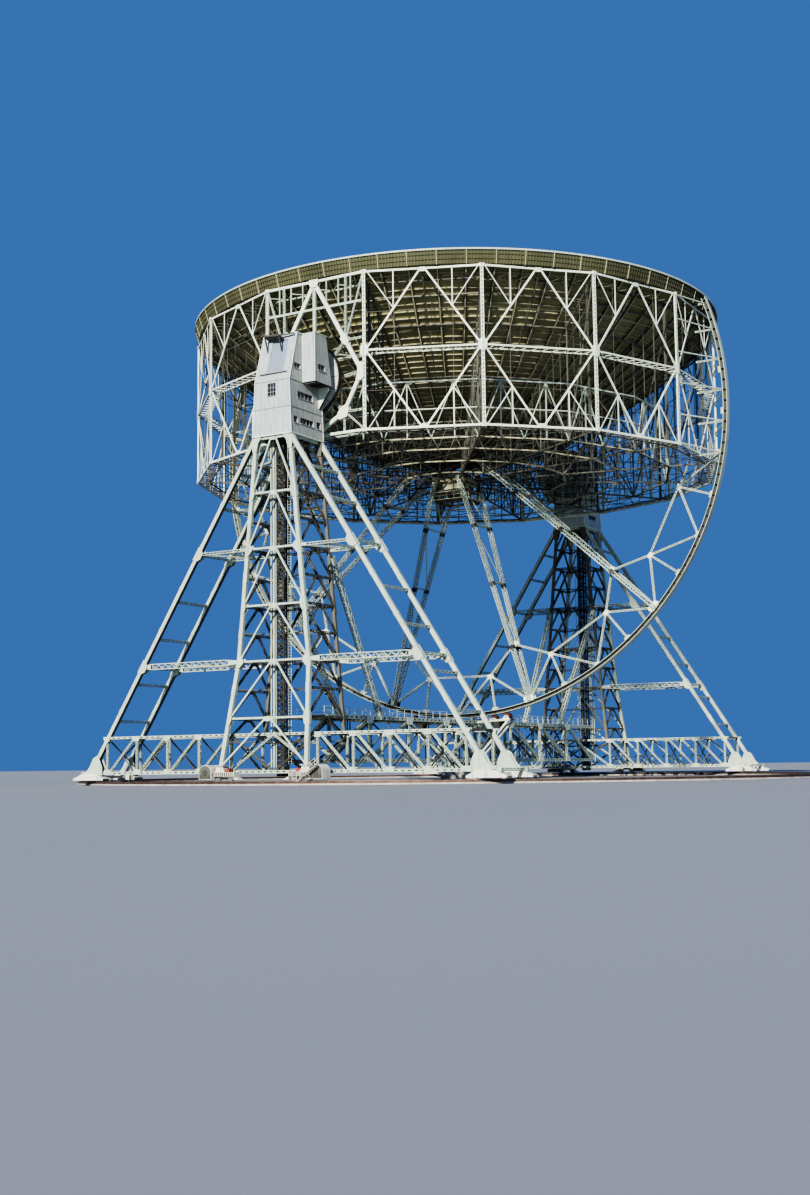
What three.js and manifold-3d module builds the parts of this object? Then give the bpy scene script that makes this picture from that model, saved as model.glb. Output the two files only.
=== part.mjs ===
// A large steerable radio telescope as a 1:10 scale model: a paraboloid bowl in a braced drum,
// carried on trunnions by two lattice towers that turn together on two circular rails.
// Units are millimetres, +Z up. The origin is on the ground at the central pivot, and X is the
// elevation axis. Dimensions below are metres of the full-size structure, scaled by METRE.
import * as THREE from "three";
import { mergeVertices } from "three/addons/utils/BufferGeometryUtils.js";
import { ConvexGeometry } from "three/addons/geometries/ConvexGeometry.js";
import Module from "manifold-3d";

const wasm = await Module();
wasm.setup();

// Scale and fits
const METRE = 100; // one full-size metre at 1:10
const SEAT_GAP = 0.003; // metres between two pieces that rest on each other
const RUNNING_GAP = 0.06; // metres between two pieces that turn past each other

// Bowl and its drum
const AXIS_Z = 50.0; // elevation axis above the ground
const BOWL_R = 38.1;
const FOCAL_LENGTH = 19.05; // the focus lies in the plane of the rim
const RIM_Z = 65.3;
const SKIN_THICKNESS = 0.15;
const DRUM_SIDES = 16;
const DRUM_R = 37.7; // at the posts
const DRUM_TOP_Z = 63.2;
const DRUM_MID_Z = 53.2;
const DRUM_BOTTOM_Z = 43.2;
const CHORD = 0.42;
const POST = 0.55;
const POST_CAP = 0.04; // how far a post stands past the chords at each end
const STRUT = 0.3;
const BRACE = 0.24;
const SPREAD = 0.35; // braces that meet end this far to either side of the joint

// Stabilising wheel in the plane x = 0
const WHEEL_R = 40.95; // middle of the ring band
const WHEEL_BAND = 0.6;
const WHEEL_WIDTH = 1.0;
const WHEEL_END = 110.5; // degrees from the lowest point to where the ring meets the rim
const WEB_R = 35.7; // inner nodes of the web
const KNUCKLE_R = 32.3; // where the web meets the booms
const WEB_BAR = 0.36;
const WEB_STEP = 16; // degrees between web nodes, half of that between booms and web nodes
const WEB_SPREAD = 0.5; // degrees to either side of a node at which its braces end

// Towers
const OUTER_X = 46.0;
const INNER_X = 39.7;
const FOOT_X = 48.1; // the outer legs kick out below the knee
const TOWER_TOP_Z = 41.55;
const LEVELS = [41.55, 34.85, 28.1, 21.25, 14.6, 7.8, 2.2];
const HALF_WIDTHS = [2.45, 3.05, 3.75, 4.4, 5.05, 5.6, 6.1];
const KNEE = 4; // index of the level where the outer legs kick out
const RAKER_TOP_Y = 2.6;
const RAKER_FOOT_Y = 27.9;
const RAKER_FOOT_Z = 2.2;
const LEG = 0.68;
const RAKER = 0.9;

// Base girders, tracks and pivot
const GIRDER_TOP_Z = 5.9;
const GIRDER_BOTTOM_Z = 1.5;
const GIRDER_HALF = 30.0;
const PANEL_POINTS = [6.2, 11.1, 16.0, 20.9, 25.7];
const INNER_RAIL_R = 48.5;
const OUTER_RAIL_R = 53.7;
const RAIL_WIDTH = 0.5;
const RAIL_TOP_Z = 0.45;
const RAIL_SIDES = 48;
const WHEEL_RADIUS = 0.42; // of a bogie wheel
const LINK_TOP_Z = 8.1; // diametral girder between the towers
const LINK_BOTTOM_Z = 2.7;
const LINK_HALF_WIDTH = 3.0;

const UP = new THREE.Vector3(0, 0, 1);

function point(x, y, z) {
  return new THREE.Vector3(x, y, z).multiplyScalar(METRE);
}

// A point of one tower: out is the distance from the centre along X. The far tower is the near
// one turned by half a turn.
function towerPoint(side, out, y, z) {
  return point(side * out, -side * y, z);
}

function material(color, roughness, metalness) {
  return new THREE.MeshStandardMaterial({ color, roughness, metalness });
}

const paint = material(0xb9c0b4, 0.6, 0.25);
const darkPaint = material(0x4a4b45, 0.7, 0.2);
const skinPaint = material(0x8d8f78, 0.75, 0.2);
const cladding = material(0xaab4bd, 0.55, 0.4);
const housingPaint = material(0xd9dccf, 0.6, 0.1);
const railSteel = material(0x7d7468, 0.65, 0.6);
const concrete = material(0x9b978c, 0.95, 0.0);
const labPaint = material(0xc9ccc6, 0.6, 0.1);

// Closed solids

function solidFrom(geometry) {
  const bare = geometry.clone();
  bare.deleteAttribute("normal");
  bare.deleteAttribute("uv");
  const merged = mergeVertices(bare, 1e-4);
  return new wasm.Manifold(
    new wasm.Mesh({
      numProp: 3,
      vertProperties: Float32Array.from(merged.attributes.position.array),
      triVerts: Uint32Array.from(merged.index.array),
    }),
  );
}

function meshOf(name, solid, look) {
  const data = solid.getMesh();
  const geometry = new THREE.BufferGeometry();
  geometry.setAttribute("position", new THREE.BufferAttribute(data.vertProperties, 3));
  geometry.setIndex(new THREE.BufferAttribute(data.triVerts, 1));
  geometry.computeVertexNormals();
  const mesh = new THREE.Mesh(geometry, look);
  mesh.name = name;
  return mesh;
}

// A member is a straight square or flat bar from a to b. Its width lies across the bar in the
// plane that has the given normal, and its depth lies along that normal.
function member(a, b, width, depth = width, normal = UP) {
  return { a, b, width, depth, normal };
}

// A brace is a lighter member of three sides. It ends inside the thicker bars that it ties.
function brace(a, b, size = BRACE, normal = UP) {
  return { a, b, width: size, depth: 0, normal };
}

function threeSided(radius, length) {
  const geometry = new THREE.CylinderGeometry(radius, radius, length, 3);
  return geometry.rotateX(Math.PI / 2);
}

function barSolid({ a, b, width, depth, normal }, grow) {
  const along = b.clone().sub(a);
  const length = along.length();
  const zAxis = along.normalize();
  const upright = Math.abs(zAxis.dot(normal)) > 0.99;
  const facing = upright ? new THREE.Vector3(1, 0, 0) : normal;
  const xAxis = facing.clone().cross(zAxis).normalize();
  const yAxis = zAxis.clone().cross(xAxis);
  const reach = length + 2 * grow * METRE;
  const across = (width + 2 * grow) * METRE;
  const geometry =
    depth > 0
      ? new THREE.BoxGeometry(across, (depth + 2 * grow) * METRE, reach)
      : threeSided(across / 2 / Math.cos(Math.PI / 6) + grow * METRE, reach);
  const middle = a.clone().add(b).multiplyScalar(0.5);
  const placing = new THREE.Matrix4().makeBasis(xAxis, yAxis, zAxis).setPosition(middle);
  return solidFrom(geometry.applyMatrix4(placing));
}

function union(solids) {
  return solids.reduce((whole, piece) => whole.add(piece));
}

// Fuses members where they meet. With grow the result is larger all round, to cut a neighbour.
function fuse(members, grow = 0) {
  return union(members.map((one) => barSolid(one, grow)));
}

// Members end to end through a list of points.
function chain(points, width, depth, normal) {
  return points.slice(1).map((end, i) => member(points[i], end, width, depth, normal));
}

function midpoint(a, b, share = 0.5) {
  return a.clone().lerp(b, share);
}

// The point a given distance from a towards b.
function towards(a, b, distance = SPREAD) {
  return midpoint(a, b, (distance * METRE) / a.distanceTo(b));
}

function box(x0, x1, y0, y1, z0, z1) {
  const size = [x1 - x0, y1 - y0, z1 - z0].map((length) => length * METRE);
  const geometry = new THREE.BoxGeometry(...size);
  const centre = point((x0 + x1) / 2, (y0 + y1) / 2, (z0 + z1) / 2);
  return solidFrom(geometry.translate(centre.x, centre.y, centre.z));
}

// A box given outward from the centre on one side.
function sideBox(side, out0, out1, y0, y1, z0, z1) {
  const xs = [side * out0, side * out1].sort((p, q) => p - q);
  const ys = [-side * y0, -side * y1].sort((p, q) => p - q);
  return box(xs[0], xs[1], ys[0], ys[1], z0, z1);
}

function hull(points) {
  return solidFrom(new ConvexGeometry(points));
}

// A cylinder between two points.
function rod(a, b, radius, sides) {
  const along = b.clone().sub(a);
  const geometry = new THREE.CylinderGeometry(
    radius * METRE,
    radius * METRE,
    along.length(),
    sides,
  );
  const turn = new THREE.Quaternion().setFromUnitVectors(
    new THREE.Vector3(0, 1, 0),
    along.clone().normalize(),
  );
  const middle = midpoint(a, b);
  geometry.applyQuaternion(turn).translate(middle.x, middle.y, middle.z);
  return solidFrom(geometry);
}

// A solid of revolution about the vertical axis through a closed outline of [radius, height].
function revolve(outline, segments) {
  const points = outline.map(([r, z]) => new THREE.Vector2(r * METRE, z * METRE));
  const first = outline[0];
  const last = outline[outline.length - 1];
  const onAxis = first[0] === 0 && last[0] === 0;
  if (!onAxis) points.push(points[0].clone());
  const geometry = new THREE.LatheGeometry(points, segments);
  return solidFrom(geometry.rotateX(Math.PI / 2));
}

// Bowl

function skinHeight(radius) {
  return RIM_Z - FOCAL_LENGTH + radius ** 2 / (4 * FOCAL_LENGTH);
}

const SKIN_RINGS = [0, 6, 14, 21, 27.5, 33, BOWL_R];

// Height of the faceted upper face near the vertex of the bowl.
function skinFacetHeight(radius) {
  const share = radius / SKIN_RINGS[1];
  return skinHeight(0) + (skinHeight(SKIN_RINGS[1]) - skinHeight(0)) * share;
}

function bowlSkin() {
  const lip = 0.35; // depth of the stiff edge under the rim
  const ribFoot = 37.55; // the ribs of the rim stand on the top chord of the drum
  const footZ = DRUM_TOP_Z + CHORD / 2 + POST_CAP + SEAT_GAP;
  const above = SKIN_RINGS.map((r) => [r, skinHeight(r)]);
  const below = SKIN_RINGS
    .slice(0, -1)
    .reverse()
    .map((r) => [r, skinHeight(r) - SKIN_THICKNESS]);
  const band = [
    [BOWL_R, RIM_Z - lip],
    [ribFoot, footZ],
    [ribFoot - 1.3, footZ],
  ];
  return revolve([...below.reverse(), ...band.reverse(), ...above.reverse()], 32);
}

// Post k of the drum, counted from the first post past the near trunnion.
function drumPoint(k, z, radius = DRUM_R) {
  const angle = Math.PI + ((k + 0.5) * 2 * Math.PI) / DRUM_SIDES;
  return point(radius * Math.cos(angle), radius * Math.sin(angle), z);
}

function sideNormal(k) {
  const angle = Math.PI + (k * 2 * Math.PI) / DRUM_SIDES;
  return new THREE.Vector3(Math.cos(angle), Math.sin(angle), 0);
}

function drumPost(k) {
  const outward = drumPoint(k, 0).normalize();
  const past = CHORD / 2 + POST_CAP;
  const ends = [DRUM_BOTTOM_Z - past, DRUM_TOP_Z + past].map((z) => drumPoint(k, z));
  return member(...ends, POST, POST, outward);
}

// One flat side between posts k - 1 and k: three chords and a diamond of diagonals.
function drumBay(k) {
  const normal = sideNormal(k);
  const zs = [DRUM_TOP_Z, DRUM_MID_Z, DRUM_BOTTOM_Z];
  const [topA, midA, lowA] = zs.map((z) => drumPoint(k - 1, z));
  const [topB, midB, lowB] = zs.map((z) => drumPoint(k, z));
  const diagonals = [
    [midA, topA, topB],
    [midB, topB, topA],
    [midA, lowA, lowB],
    [midB, lowB, lowA],
  ].map(([joint, corner, opposite]) => {
    const end = towards(midpoint(corner, opposite), corner);
    return brace(towards(joint, corner), end, BRACE, normal);
  });
  return [
    member(topA, topB, CHORD, CHORD, normal),
    member(lowA, lowB, CHORD, CHORD, normal),
    brace(midA, midB, BRACE, normal),
    ...diagonals,
  ];
}

// The sides from bay first to bay last, with the posts that stand between and at its ends.
function drumRun(first, last) {
  const members = [];
  for (let k = first; k <= last; k += 1) members.push(...drumBay(k));
  for (let k = first - 1; k <= last; k += 1) members.push(drumPost(k));
  return members;
}

// The side that carries a trunnion: a frame of struts round the shaft, the rack wheel and shaft.
const FRAME_OUTLINE = [
  [0, 63.2],
  [4.6, 54.9],
  [7.0, 50.6],
  [4.4, 45.8],
  [0, 43.2],
];
const UPPER_TIE_Z = 59.6;
const RACK_R = 4.6;
const RACK_OUT = [38.0, 38.75];
const SHAFT_R = 0.6;
const SHAFT_SIDES = 24;
const BEARING_GAP = 0.009; // metres all round the shaft in its bearing
const SHAFT_END = 41.3;

function trunnionPlane() {
  return DRUM_R * Math.cos(Math.PI / DRUM_SIDES);
}

function trunnionMembers(side) {
  const out = trunnionPlane();
  const normal = new THREE.Vector3(1, 0, 0);
  const at = (y, z) => towerPoint(side, out, y, z);
  const halfSide = DRUM_R * Math.sin(Math.PI / DRUM_SIDES);
  const hub = at(0, AXIS_Z);
  const members = [
    member(at(-halfSide, DRUM_TOP_Z), at(halfSide, DRUM_TOP_Z), CHORD, CHORD, normal),
    member(at(-halfSide, UPPER_TIE_Z), at(halfSide, UPPER_TIE_Z), STRUT, STRUT, normal),
    member(at(0, DRUM_TOP_Z), hub, CHORD, CHORD, normal),
    member(hub, at(0, DRUM_BOTTOM_Z), CHORD, CHORD, normal),
    member(at(-halfSide, DRUM_BOTTOM_Z), at(halfSide, DRUM_BOTTOM_Z), CHORD, CHORD, normal),
  ];
  for (const sign of [-1, 1]) {
    const outline = FRAME_OUTLINE.map(([y, z]) => at(sign * y, z));
    members.push(...chain(outline, CHORD, CHORD, normal));
    const shoulder = FRAME_OUTLINE[1];
    members.push(
      brace(hub, outline[1], BRACE, normal),
      brace(hub, outline[3], BRACE, normal),
      brace(outline[1], at(sign * shoulder[0], DRUM_TOP_Z), BRACE, normal),
      brace(outline[2], at(sign * halfSide, FRAME_OUTLINE[2][1]), BRACE, normal),
    );
  }
  return members;
}

function trunnionSide(side) {
  const out = trunnionPlane();
  const on = (x) => towerPoint(side, x, 0, AXIS_Z);
  const rack = rod(on(RACK_OUT[0]), on(RACK_OUT[1]), RACK_R, 24);
  const boss = rod(on(out - 0.4), on(RACK_OUT[0] + 0.1), 1.3, 12);
  const shaft = rod(on(out), on(SHAFT_END), SHAFT_R, SHAFT_SIDES);
  return union([fuse(trunnionMembers(side)), rack, boss, shaft]);
}

// Flat grid of radial and ring members across the bottom of the drum.
const GRID_RING_R = 31.0;
const GRID_BAR = 0.34;

function bottomGrid() {
  const members = [];
  for (let k = 0; k < DRUM_SIDES; k += 1) {
    const direction = drumPoint(k, 0, 1);
    const hubReach = (HUB_HALF * METRE) / Math.max(Math.abs(direction.x), Math.abs(direction.y));
    const start = drumPoint(k, DRUM_BOTTOM_Z, hubReach);
    const end = drumPoint(k, DRUM_BOTTOM_Z);
    const ring = [k, k + 1].map((post) => drumPoint(post, DRUM_BOTTOM_Z, GRID_RING_R));
    const outer = midpoint(end, drumPoint(k + 1, DRUM_BOTTOM_Z));
    members.push(
      member(start, end, GRID_BAR),
      member(ring[0], ring[1], STRUT),
      brace(midpoint(...ring), outer),
    );
  }
  return members;
}

// Square frame under the middle of the bowl that carries the swinging laboratory.
const HUB_HALF = 2.3;
const HUB_TOP_Z = 45.2;
const HUB_BOTTOM_Z = 40.2;
const HUB_BAR = 0.35;

function hubMembers() {
  const corner = (sx, sy, z) => point(sx * HUB_HALF, sy * HUB_HALF, z);
  const crownZ = skinHeight(0) - SKIN_THICKNESS - HUB_BAR / 2 - SEAT_GAP;
  const turnRound = [
    [-1, -1],
    [1, -1],
    [1, 1],
    [-1, 1],
  ];
  const members = [];
  turnRound.forEach(([sx, sy], i) => {
    const [nx, ny] = turnRound[(i + 1) % 4];
    members.push(member(corner(sx, sy, HUB_BOTTOM_Z), corner(sx, sy, HUB_TOP_Z), HUB_BAR));
    for (const z of [HUB_BOTTOM_Z, DRUM_BOTTOM_Z, HUB_TOP_Z]) {
      members.push(member(corner(sx, sy, z), corner(nx, ny, z), HUB_BAR));
    }
    members.push(member(corner(sx, sy, HUB_TOP_Z), point(0, 0, crownZ), HUB_BAR));
  });
  return members;
}

// Laboratory cabin that hangs on two pins and stays level as the bowl tips.
const LAB_AXIS_Z = DRUM_BOTTOM_Z; // level with the middle bars of the frame
const LAB_HALF_X = 1.85;
const LAB_HALF_Y = 1.35;
const LAB_HALF_Z = 1.3;
const LAB_PIN_R = 0.12;

function laboratory() {
  const cabin = box(
    -LAB_HALF_X,
    LAB_HALF_X,
    -LAB_HALF_Y,
    LAB_HALF_Y,
    LAB_AXIS_Z - LAB_HALF_Z,
    LAB_AXIS_Z + LAB_HALF_Z,
  );
  const reach = HUB_HALF - HUB_BAR / 2 - SEAT_GAP;
  const pin = rod(point(-reach, 0, LAB_AXIS_Z), point(reach, 0, LAB_AXIS_Z), LAB_PIN_R, 8);
  return cabin.add(pin);
}

// Aerial mast from the vertex of the bowl to the focus.
function aerialMast() {
  const foot = 1.4;
  const head = 0.3;
  const base = skinFacetHeight(foot * Math.SQRT2 + 0.06) + SEAT_GAP;
  const members = [];
  const levels = [0, 0.28, 0.54, 0.78, 1];
  const corner = (i, share) => {
    const half = foot + (head - foot) * share;
    const angle = (i * Math.PI) / 2 + Math.PI / 4;
    const reach = half * Math.SQRT2;
    return point(
      reach * Math.cos(angle),
      reach * Math.sin(angle),
      base + (RIM_Z - base - 0.2) * share,
    );
  };
  for (let i = 0; i < 4; i += 1) {
    members.push(member(corner(i, 0), corner(i, 1), 0.2));
    levels.slice(1).forEach((share) => {
      members.push(brace(corner(i, share), corner(i + 1, share), 0.12));
    });
  }
  return members;
}

// Stabilising wheel

function wheelPoint(degrees, radius, x = 0) {
  const angle = THREE.MathUtils.degToRad(degrees);
  return point(x, radius * Math.sin(angle), AXIS_Z - radius * Math.cos(angle));
}

function wheelBand(grow = 0) {
  const inner = WHEEL_R - WHEEL_BAND / 2 - grow;
  const outer = WHEEL_R + WHEEL_BAND / 2 + grow;
  const steps = 34;
  const arc = (radius, from, to) => {
    const ring = [];
    for (let i = 0; i <= steps; i += 1) {
      const angle = THREE.MathUtils.degToRad(from + ((to - from) * i) / steps);
      ring.push(new THREE.Vector2(radius * Math.sin(angle), -radius * Math.cos(angle)));
    }
    return ring;
  };
  const outline = [...arc(outer, -WHEEL_END, WHEEL_END), ...arc(inner, WHEEL_END, -WHEEL_END)];
  const shape = new THREE.Shape(outline.map((p) => p.multiplyScalar(METRE)));
  const geometry = new THREE.ExtrudeGeometry(shape, {
    depth: (WHEEL_WIDTH + 2 * grow) * METRE,
    bevelEnabled: false,
  });
  geometry.translate(0, 0, (-WHEEL_WIDTH / 2 - grow) * METRE);
  const turned = new THREE.Matrix4().makeBasis(
    new THREE.Vector3(0, 1, 0),
    new THREE.Vector3(0, 0, 1),
    new THREE.Vector3(1, 0, 0),
  );
  return solidFrom(geometry.applyMatrix4(turned).translate(0, 0, AXIS_Z * METRE));
}

// The web on one half of the ring, sign -1 towards -Y and 1 towards +Y.
function webMembers(sign) {
  const across = new THREE.Vector3(1, 0, 0);
  const bars = [];
  const line = (a0, r0, a1, r1) => {
    bars.push(brace(wheelPoint(sign * a0, r0), wheelPoint(sign * a1, r1), WEB_BAR, across));
  };
  const nodes = [0.5, 1.5, 2.5, 3.5, 4.5].map((i) => i * WEB_STEP);
  for (const angle of nodes) {
    line(angle, WEB_R, angle, WHEEL_R);
    line(angle - WEB_SPREAD, WEB_R, angle - WEB_STEP / 2 + WEB_SPREAD, WHEEL_R);
    line(angle + WEB_SPREAD, WEB_R, angle + WEB_STEP / 2 - WEB_SPREAD, WHEEL_R);
  }
  for (const boom of [WEB_STEP, 3 * WEB_STEP]) {
    line(boom - WEB_STEP / 2, WEB_R, boom, KNUCKLE_R);
    line(boom, KNUCKLE_R, boom + WEB_STEP / 2, WEB_R);
  }
  line(nodes[1], WEB_R, nodes[2], WEB_R);
  line(nodes[3], WEB_R, nodes[4], WEB_R);
  return bars;
}

function webCrown() {
  const across = new THREE.Vector3(1, 0, 0);
  const half = WEB_STEP / 2;
  return [brace(wheelPoint(-half, WEB_R), wheelPoint(half, WEB_R), WEB_BAR, across)];
}

// A pair of booms that spread from the ring to either side of the hub frame.
const BOOM = 0.55;
const BOOM_TOP_R = 6.6;
const BOOM_SPREAD = 3.15;
const BOOM_TIES = [0.03, 0.22, 0.48, 0.74];

function boomMembers(degrees) {
  const ends = [-1, 1].map((s) => [
    wheelPoint(degrees, BOOM_TOP_R, s * BOOM_SPREAD),
    wheelPoint(degrees, WHEEL_R, s * 0.2),
  ]);
  const members = ends.map(([top, foot]) => member(top, foot, BOOM));
  for (const share of BOOM_TIES) {
    members.push(brace(midpoint(...ends[0], share), midpoint(...ends[1], share)));
  }
  return members;
}

// Towers

function legOut(level) {
  if (level <= KNEE) return OUTER_X;
  const drop = (LEVELS[KNEE] - LEVELS[level]) / (LEVELS[KNEE] - LEVELS[LEVELS.length - 1]);
  return OUTER_X + (FOOT_X - OUTER_X) * drop;
}

function towerJoint(side, level, frame, sign) {
  const out = frame === "outer" ? legOut(level) : INNER_X;
  return towerPoint(side, out, sign * HALF_WIDTHS[level], LEVELS[level]);
}

// The outer legs stand on bogies, the inner ones on the top chord of the base girder.
function legFoot(side, frame, sign) {
  const last = LEVELS.length - 1;
  if (frame === "outer") return towerJoint(side, last, frame, sign);
  const z = GIRDER_TOP_Z + (STRUT + LEG * 0.1) / 2 + SEAT_GAP;
  const share = (LEVELS[last - 1] - z) / (LEVELS[last - 1] - LEVELS[last]);
  return midpoint(
    towerJoint(side, last - 1, frame, sign),
    towerJoint(side, last, frame, sign),
    share,
  );
}

// One inverted V per panel below a strut, between two legs.
function panelMembers(a0, b0, a1, b1, normal) {
  const crown = midpoint(a0, b0);
  return [
    member(a0, b0, STRUT, STRUT, normal),
    brace(towards(crown, a0), a1, BRACE, normal),
    brace(towards(crown, b0), b1, BRACE, normal),
  ];
}

function towerMembers(side) {
  const members = [];
  const alongX = new THREE.Vector3(1, 0, 0);
  const alongY = new THREE.Vector3(0, 1, 0);
  const last = LEVELS.length - 1;
  for (const frame of ["outer", "inner"]) {
    const panels = frame === "outer" ? last : last - 1;
    for (const sign of [-1, 1]) {
      const knee = towerJoint(side, KNEE, frame, sign);
      const leg = [towerJoint(side, 0, frame, sign), knee, legFoot(side, frame, sign)];
      members.push(...chain(leg, LEG, LEG, alongX));
    }
    for (let level = 0; level < panels; level += 1) {
      const [a0, b0] = [-1, 1].map((sign) => towerJoint(side, level, frame, sign));
      const [a1, b1] = [-1, 1].map((sign) => towerJoint(side, level + 1, frame, sign));
      members.push(...panelMembers(a0, b0, a1, b1, alongX));
    }
    if (frame === "inner") {
      const [a, b] = [-1, 1].map((sign) => towerJoint(side, last - 1, frame, sign));
      members.push(member(a, b, STRUT, STRUT, alongX));
    }
  }
  for (const sign of [-1, 1]) {
    for (let level = 0; level < last - 1; level += 1) {
      const [a0, b0] = ["outer", "inner"].map((f) => towerJoint(side, level, f, sign));
      const [a1, b1] = ["outer", "inner"].map((f) => towerJoint(side, level + 1, f, sign));
      members.push(...panelMembers(a0, b0, a1, b1, alongY));
    }
  }
  return members;
}

function rakerPoint(side, out, sign, z) {
  const share = (TOWER_TOP_Z - z) / (TOWER_TOP_Z - RAKER_FOOT_Z);
  const y = RAKER_TOP_Y + (RAKER_FOOT_Y - RAKER_TOP_Y) * share;
  return towerPoint(side, out, sign * y, z);
}

// A pair of raking legs, tied to each other, with the struts that steady them from the tower.
function rakerMembers(side, sign) {
  const alongX = new THREE.Vector3(1, 0, 0);
  const members = [];
  for (const out of [OUTER_X, INNER_X]) {
    const top = rakerPoint(side, out, sign, TOWER_TOP_Z);
    const foot = rakerPoint(side, out, sign, RAKER_FOOT_Z);
    members.push(member(top, foot, RAKER, RAKER * 0.8, alongX));
    for (const [level, depth] of [
      [2, 0.35],
      [KNEE, 0.9],
    ]) {
      const z = LEVELS[level];
      const tower = towerPoint(side, out, sign * HALF_WIDTHS[level], z);
      members.push(member(tower, rakerPoint(side, out, sign, z), depth, 0.35, alongX));
    }
  }
  for (const z of [33.5, 28.1, 22.5, 18.0, 12.5, 8.0]) {
    members.push(
      brace(rakerPoint(side, OUTER_X, sign, z), rakerPoint(side, INNER_X, sign, z), 0.4),
    );
  }
  return members;
}

function baseGirderMembers(side) {
  const alongX = new THREE.Vector3(1, 0, 0);
  const members = [];
  const halfTop = PANEL_POINTS[PANEL_POINTS.length - 1];
  for (const out of [OUTER_X, INNER_X]) {
    const at = (y, z) => towerPoint(side, out, y, z);
    members.push(
      member(at(-halfTop, GIRDER_TOP_Z), at(halfTop, GIRDER_TOP_Z), STRUT, STRUT, alongX),
      member(at(-GIRDER_HALF, GIRDER_BOTTOM_Z), at(GIRDER_HALF, GIRDER_BOTTOM_Z), 0.5, 0.4, alongX),
    );
    for (const sign of [-1, 1]) {
      PANEL_POINTS.forEach((y, i) => {
        const ends = [at(sign * y, GIRDER_BOTTOM_Z), at(sign * y, GIRDER_TOP_Z)];
        members.push(brace(...ends, BRACE, alongX));
        const next = PANEL_POINTS[i + 1];
        if (next) {
          const top = at(sign * (y + SPREAD), GIRDER_TOP_Z);
          const foot = at(sign * (next - SPREAD), GIRDER_BOTTOM_Z);
          members.push(brace(top, foot, BRACE, alongX));
        }
      });
    }
  }
  PANEL_POINTS.forEach((reach, i) => {
    const z = i % 2 === 0 ? GIRDER_BOTTOM_Z : GIRDER_TOP_Z;
    for (const y of [-reach, reach]) {
      const [outer, inner] = [OUTER_X, INNER_X].map((out) => towerPoint(side, out, y, z));
      members.push(brace(outer, inner));
    }
  });
  return members;
}

// Diametral girder that holds the two towers to the central pivot, with the inner raking struts.
const LINK_PANELS = 8;
const LINK_END = INNER_X;
const INNER_STRUT_TOP = [39.5, 4.0, 27.3];
const INNER_STRUT_FOOT = [26.8, 3.0, 8.1];

function linkMembers() {
  const alongY = new THREE.Vector3(0, 1, 0);
  const members = [];
  const step = (2 * LINK_END) / LINK_PANELS;
  const along = (i) => -LINK_END + i * step;
  for (const sign of [-1, 1]) {
    const y = sign * LINK_HALF_WIDTH;
    for (const [z, width] of [
      [LINK_TOP_Z, 0.5],
      [LINK_BOTTOM_Z, 0.4],
    ]) {
      members.push(member(point(-LINK_END, y, z), point(LINK_END, y, z), width, 0.4, alongY));
    }
    for (let i = 1; i < LINK_PANELS; i += 1) {
      const foot = point(along(i), y, LINK_BOTTOM_Z);
      members.push(brace(foot, point(along(i), y, LINK_TOP_Z), BRACE, alongY));
    }
    for (let i = 0; i < LINK_PANELS; i += 1) {
      const fallsOut = i < LINK_PANELS / 2;
      const [top, foot] = fallsOut ? [along(i + 1), along(i)] : [along(i), along(i + 1)];
      const spread = fallsOut ? -SPREAD : SPREAD;
      const crown = point(top + spread, y, LINK_TOP_Z);
      members.push(brace(crown, point(foot - spread, y, LINK_BOTTOM_Z), BRACE, alongY));
    }
    for (const side of [-1, 1]) {
      const [topOut, topY, topZ] = INNER_STRUT_TOP;
      const [footOut, footY, footZ] = INNER_STRUT_FOOT;
      members.push(
        member(
          towerPoint(side, topOut, sign * topY, topZ),
          towerPoint(side, footOut, sign * footY, footZ),
          0.6,
        ),
      );
    }
  }
  for (let i = 1; i < LINK_PANELS; i += 1) {
    for (const z of [LINK_BOTTOM_Z, LINK_TOP_Z]) {
      const [left, right] = [-1, 1].map((sign) => point(along(i), sign * LINK_HALF_WIDTH, z));
      members.push(brace(left, right));
    }
  }
  return members;
}

// The boss under the middle of the girder turns on the pivot base.
const PIVOT_TOP_Z = 1.6;
const PIVOT_PIN_R = 0.7;

function linkBoss() {
  const low = PIVOT_TOP_Z + SEAT_GAP;
  const boss = rod(point(0, 0, low), point(0, 0, LINK_BOTTOM_Z + 0.2), 1.3, 16);
  const bore = rod(
    point(0, 0, low - 1),
    point(0, 0, PIVOT_TOP_Z + 0.65),
    PIVOT_PIN_R + 0.02,
    16,
  );
  const cross = fuse([
    member(point(0, -LINK_HALF_WIDTH, LINK_BOTTOM_Z), point(0, LINK_HALF_WIDTH, LINK_BOTTOM_Z), 0.7, 0.6),
  ]);
  return boss.add(cross).subtract(bore);
}

function pivotBase() {
  const pad = rod(point(0, 0, 0), point(0, 0, PIVOT_TOP_Z), 3.0, 24);
  const pin = rod(point(0, 0, PIVOT_TOP_Z - 0.5), point(0, 0, PIVOT_TOP_Z + 0.6), PIVOT_PIN_R, 16);
  return pad.add(pin);
}

// Rollers that steady the ring where it passes over the girder.
const ROLLER_R = 0.6;
const ROLLER_ANGLES = [7.6, 10.4];

function ringRollers() {
  const reach = WHEEL_R + WHEEL_BAND / 2 + ROLLER_R + RUNNING_GAP;
  const sillZ = LINK_TOP_Z + 0.25 + SEAT_GAP;
  const sillTop = sillZ + 0.16;
  const pieces = [box(-0.5, 0.5, -8.4, 8.4, sillZ, sillTop)];
  for (const sign of [-1, 1]) {
    for (const degrees of ROLLER_ANGLES) {
      const axle = wheelPoint(sign * degrees, reach);
      const half = new THREE.Vector3(0.5 * METRE, 0, 0);
      pieces.push(rod(axle.clone().sub(half), axle.clone().add(half), ROLLER_R, 14));
    }
  }
  return union(pieces);
}

// Machine house on each tower

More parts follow.
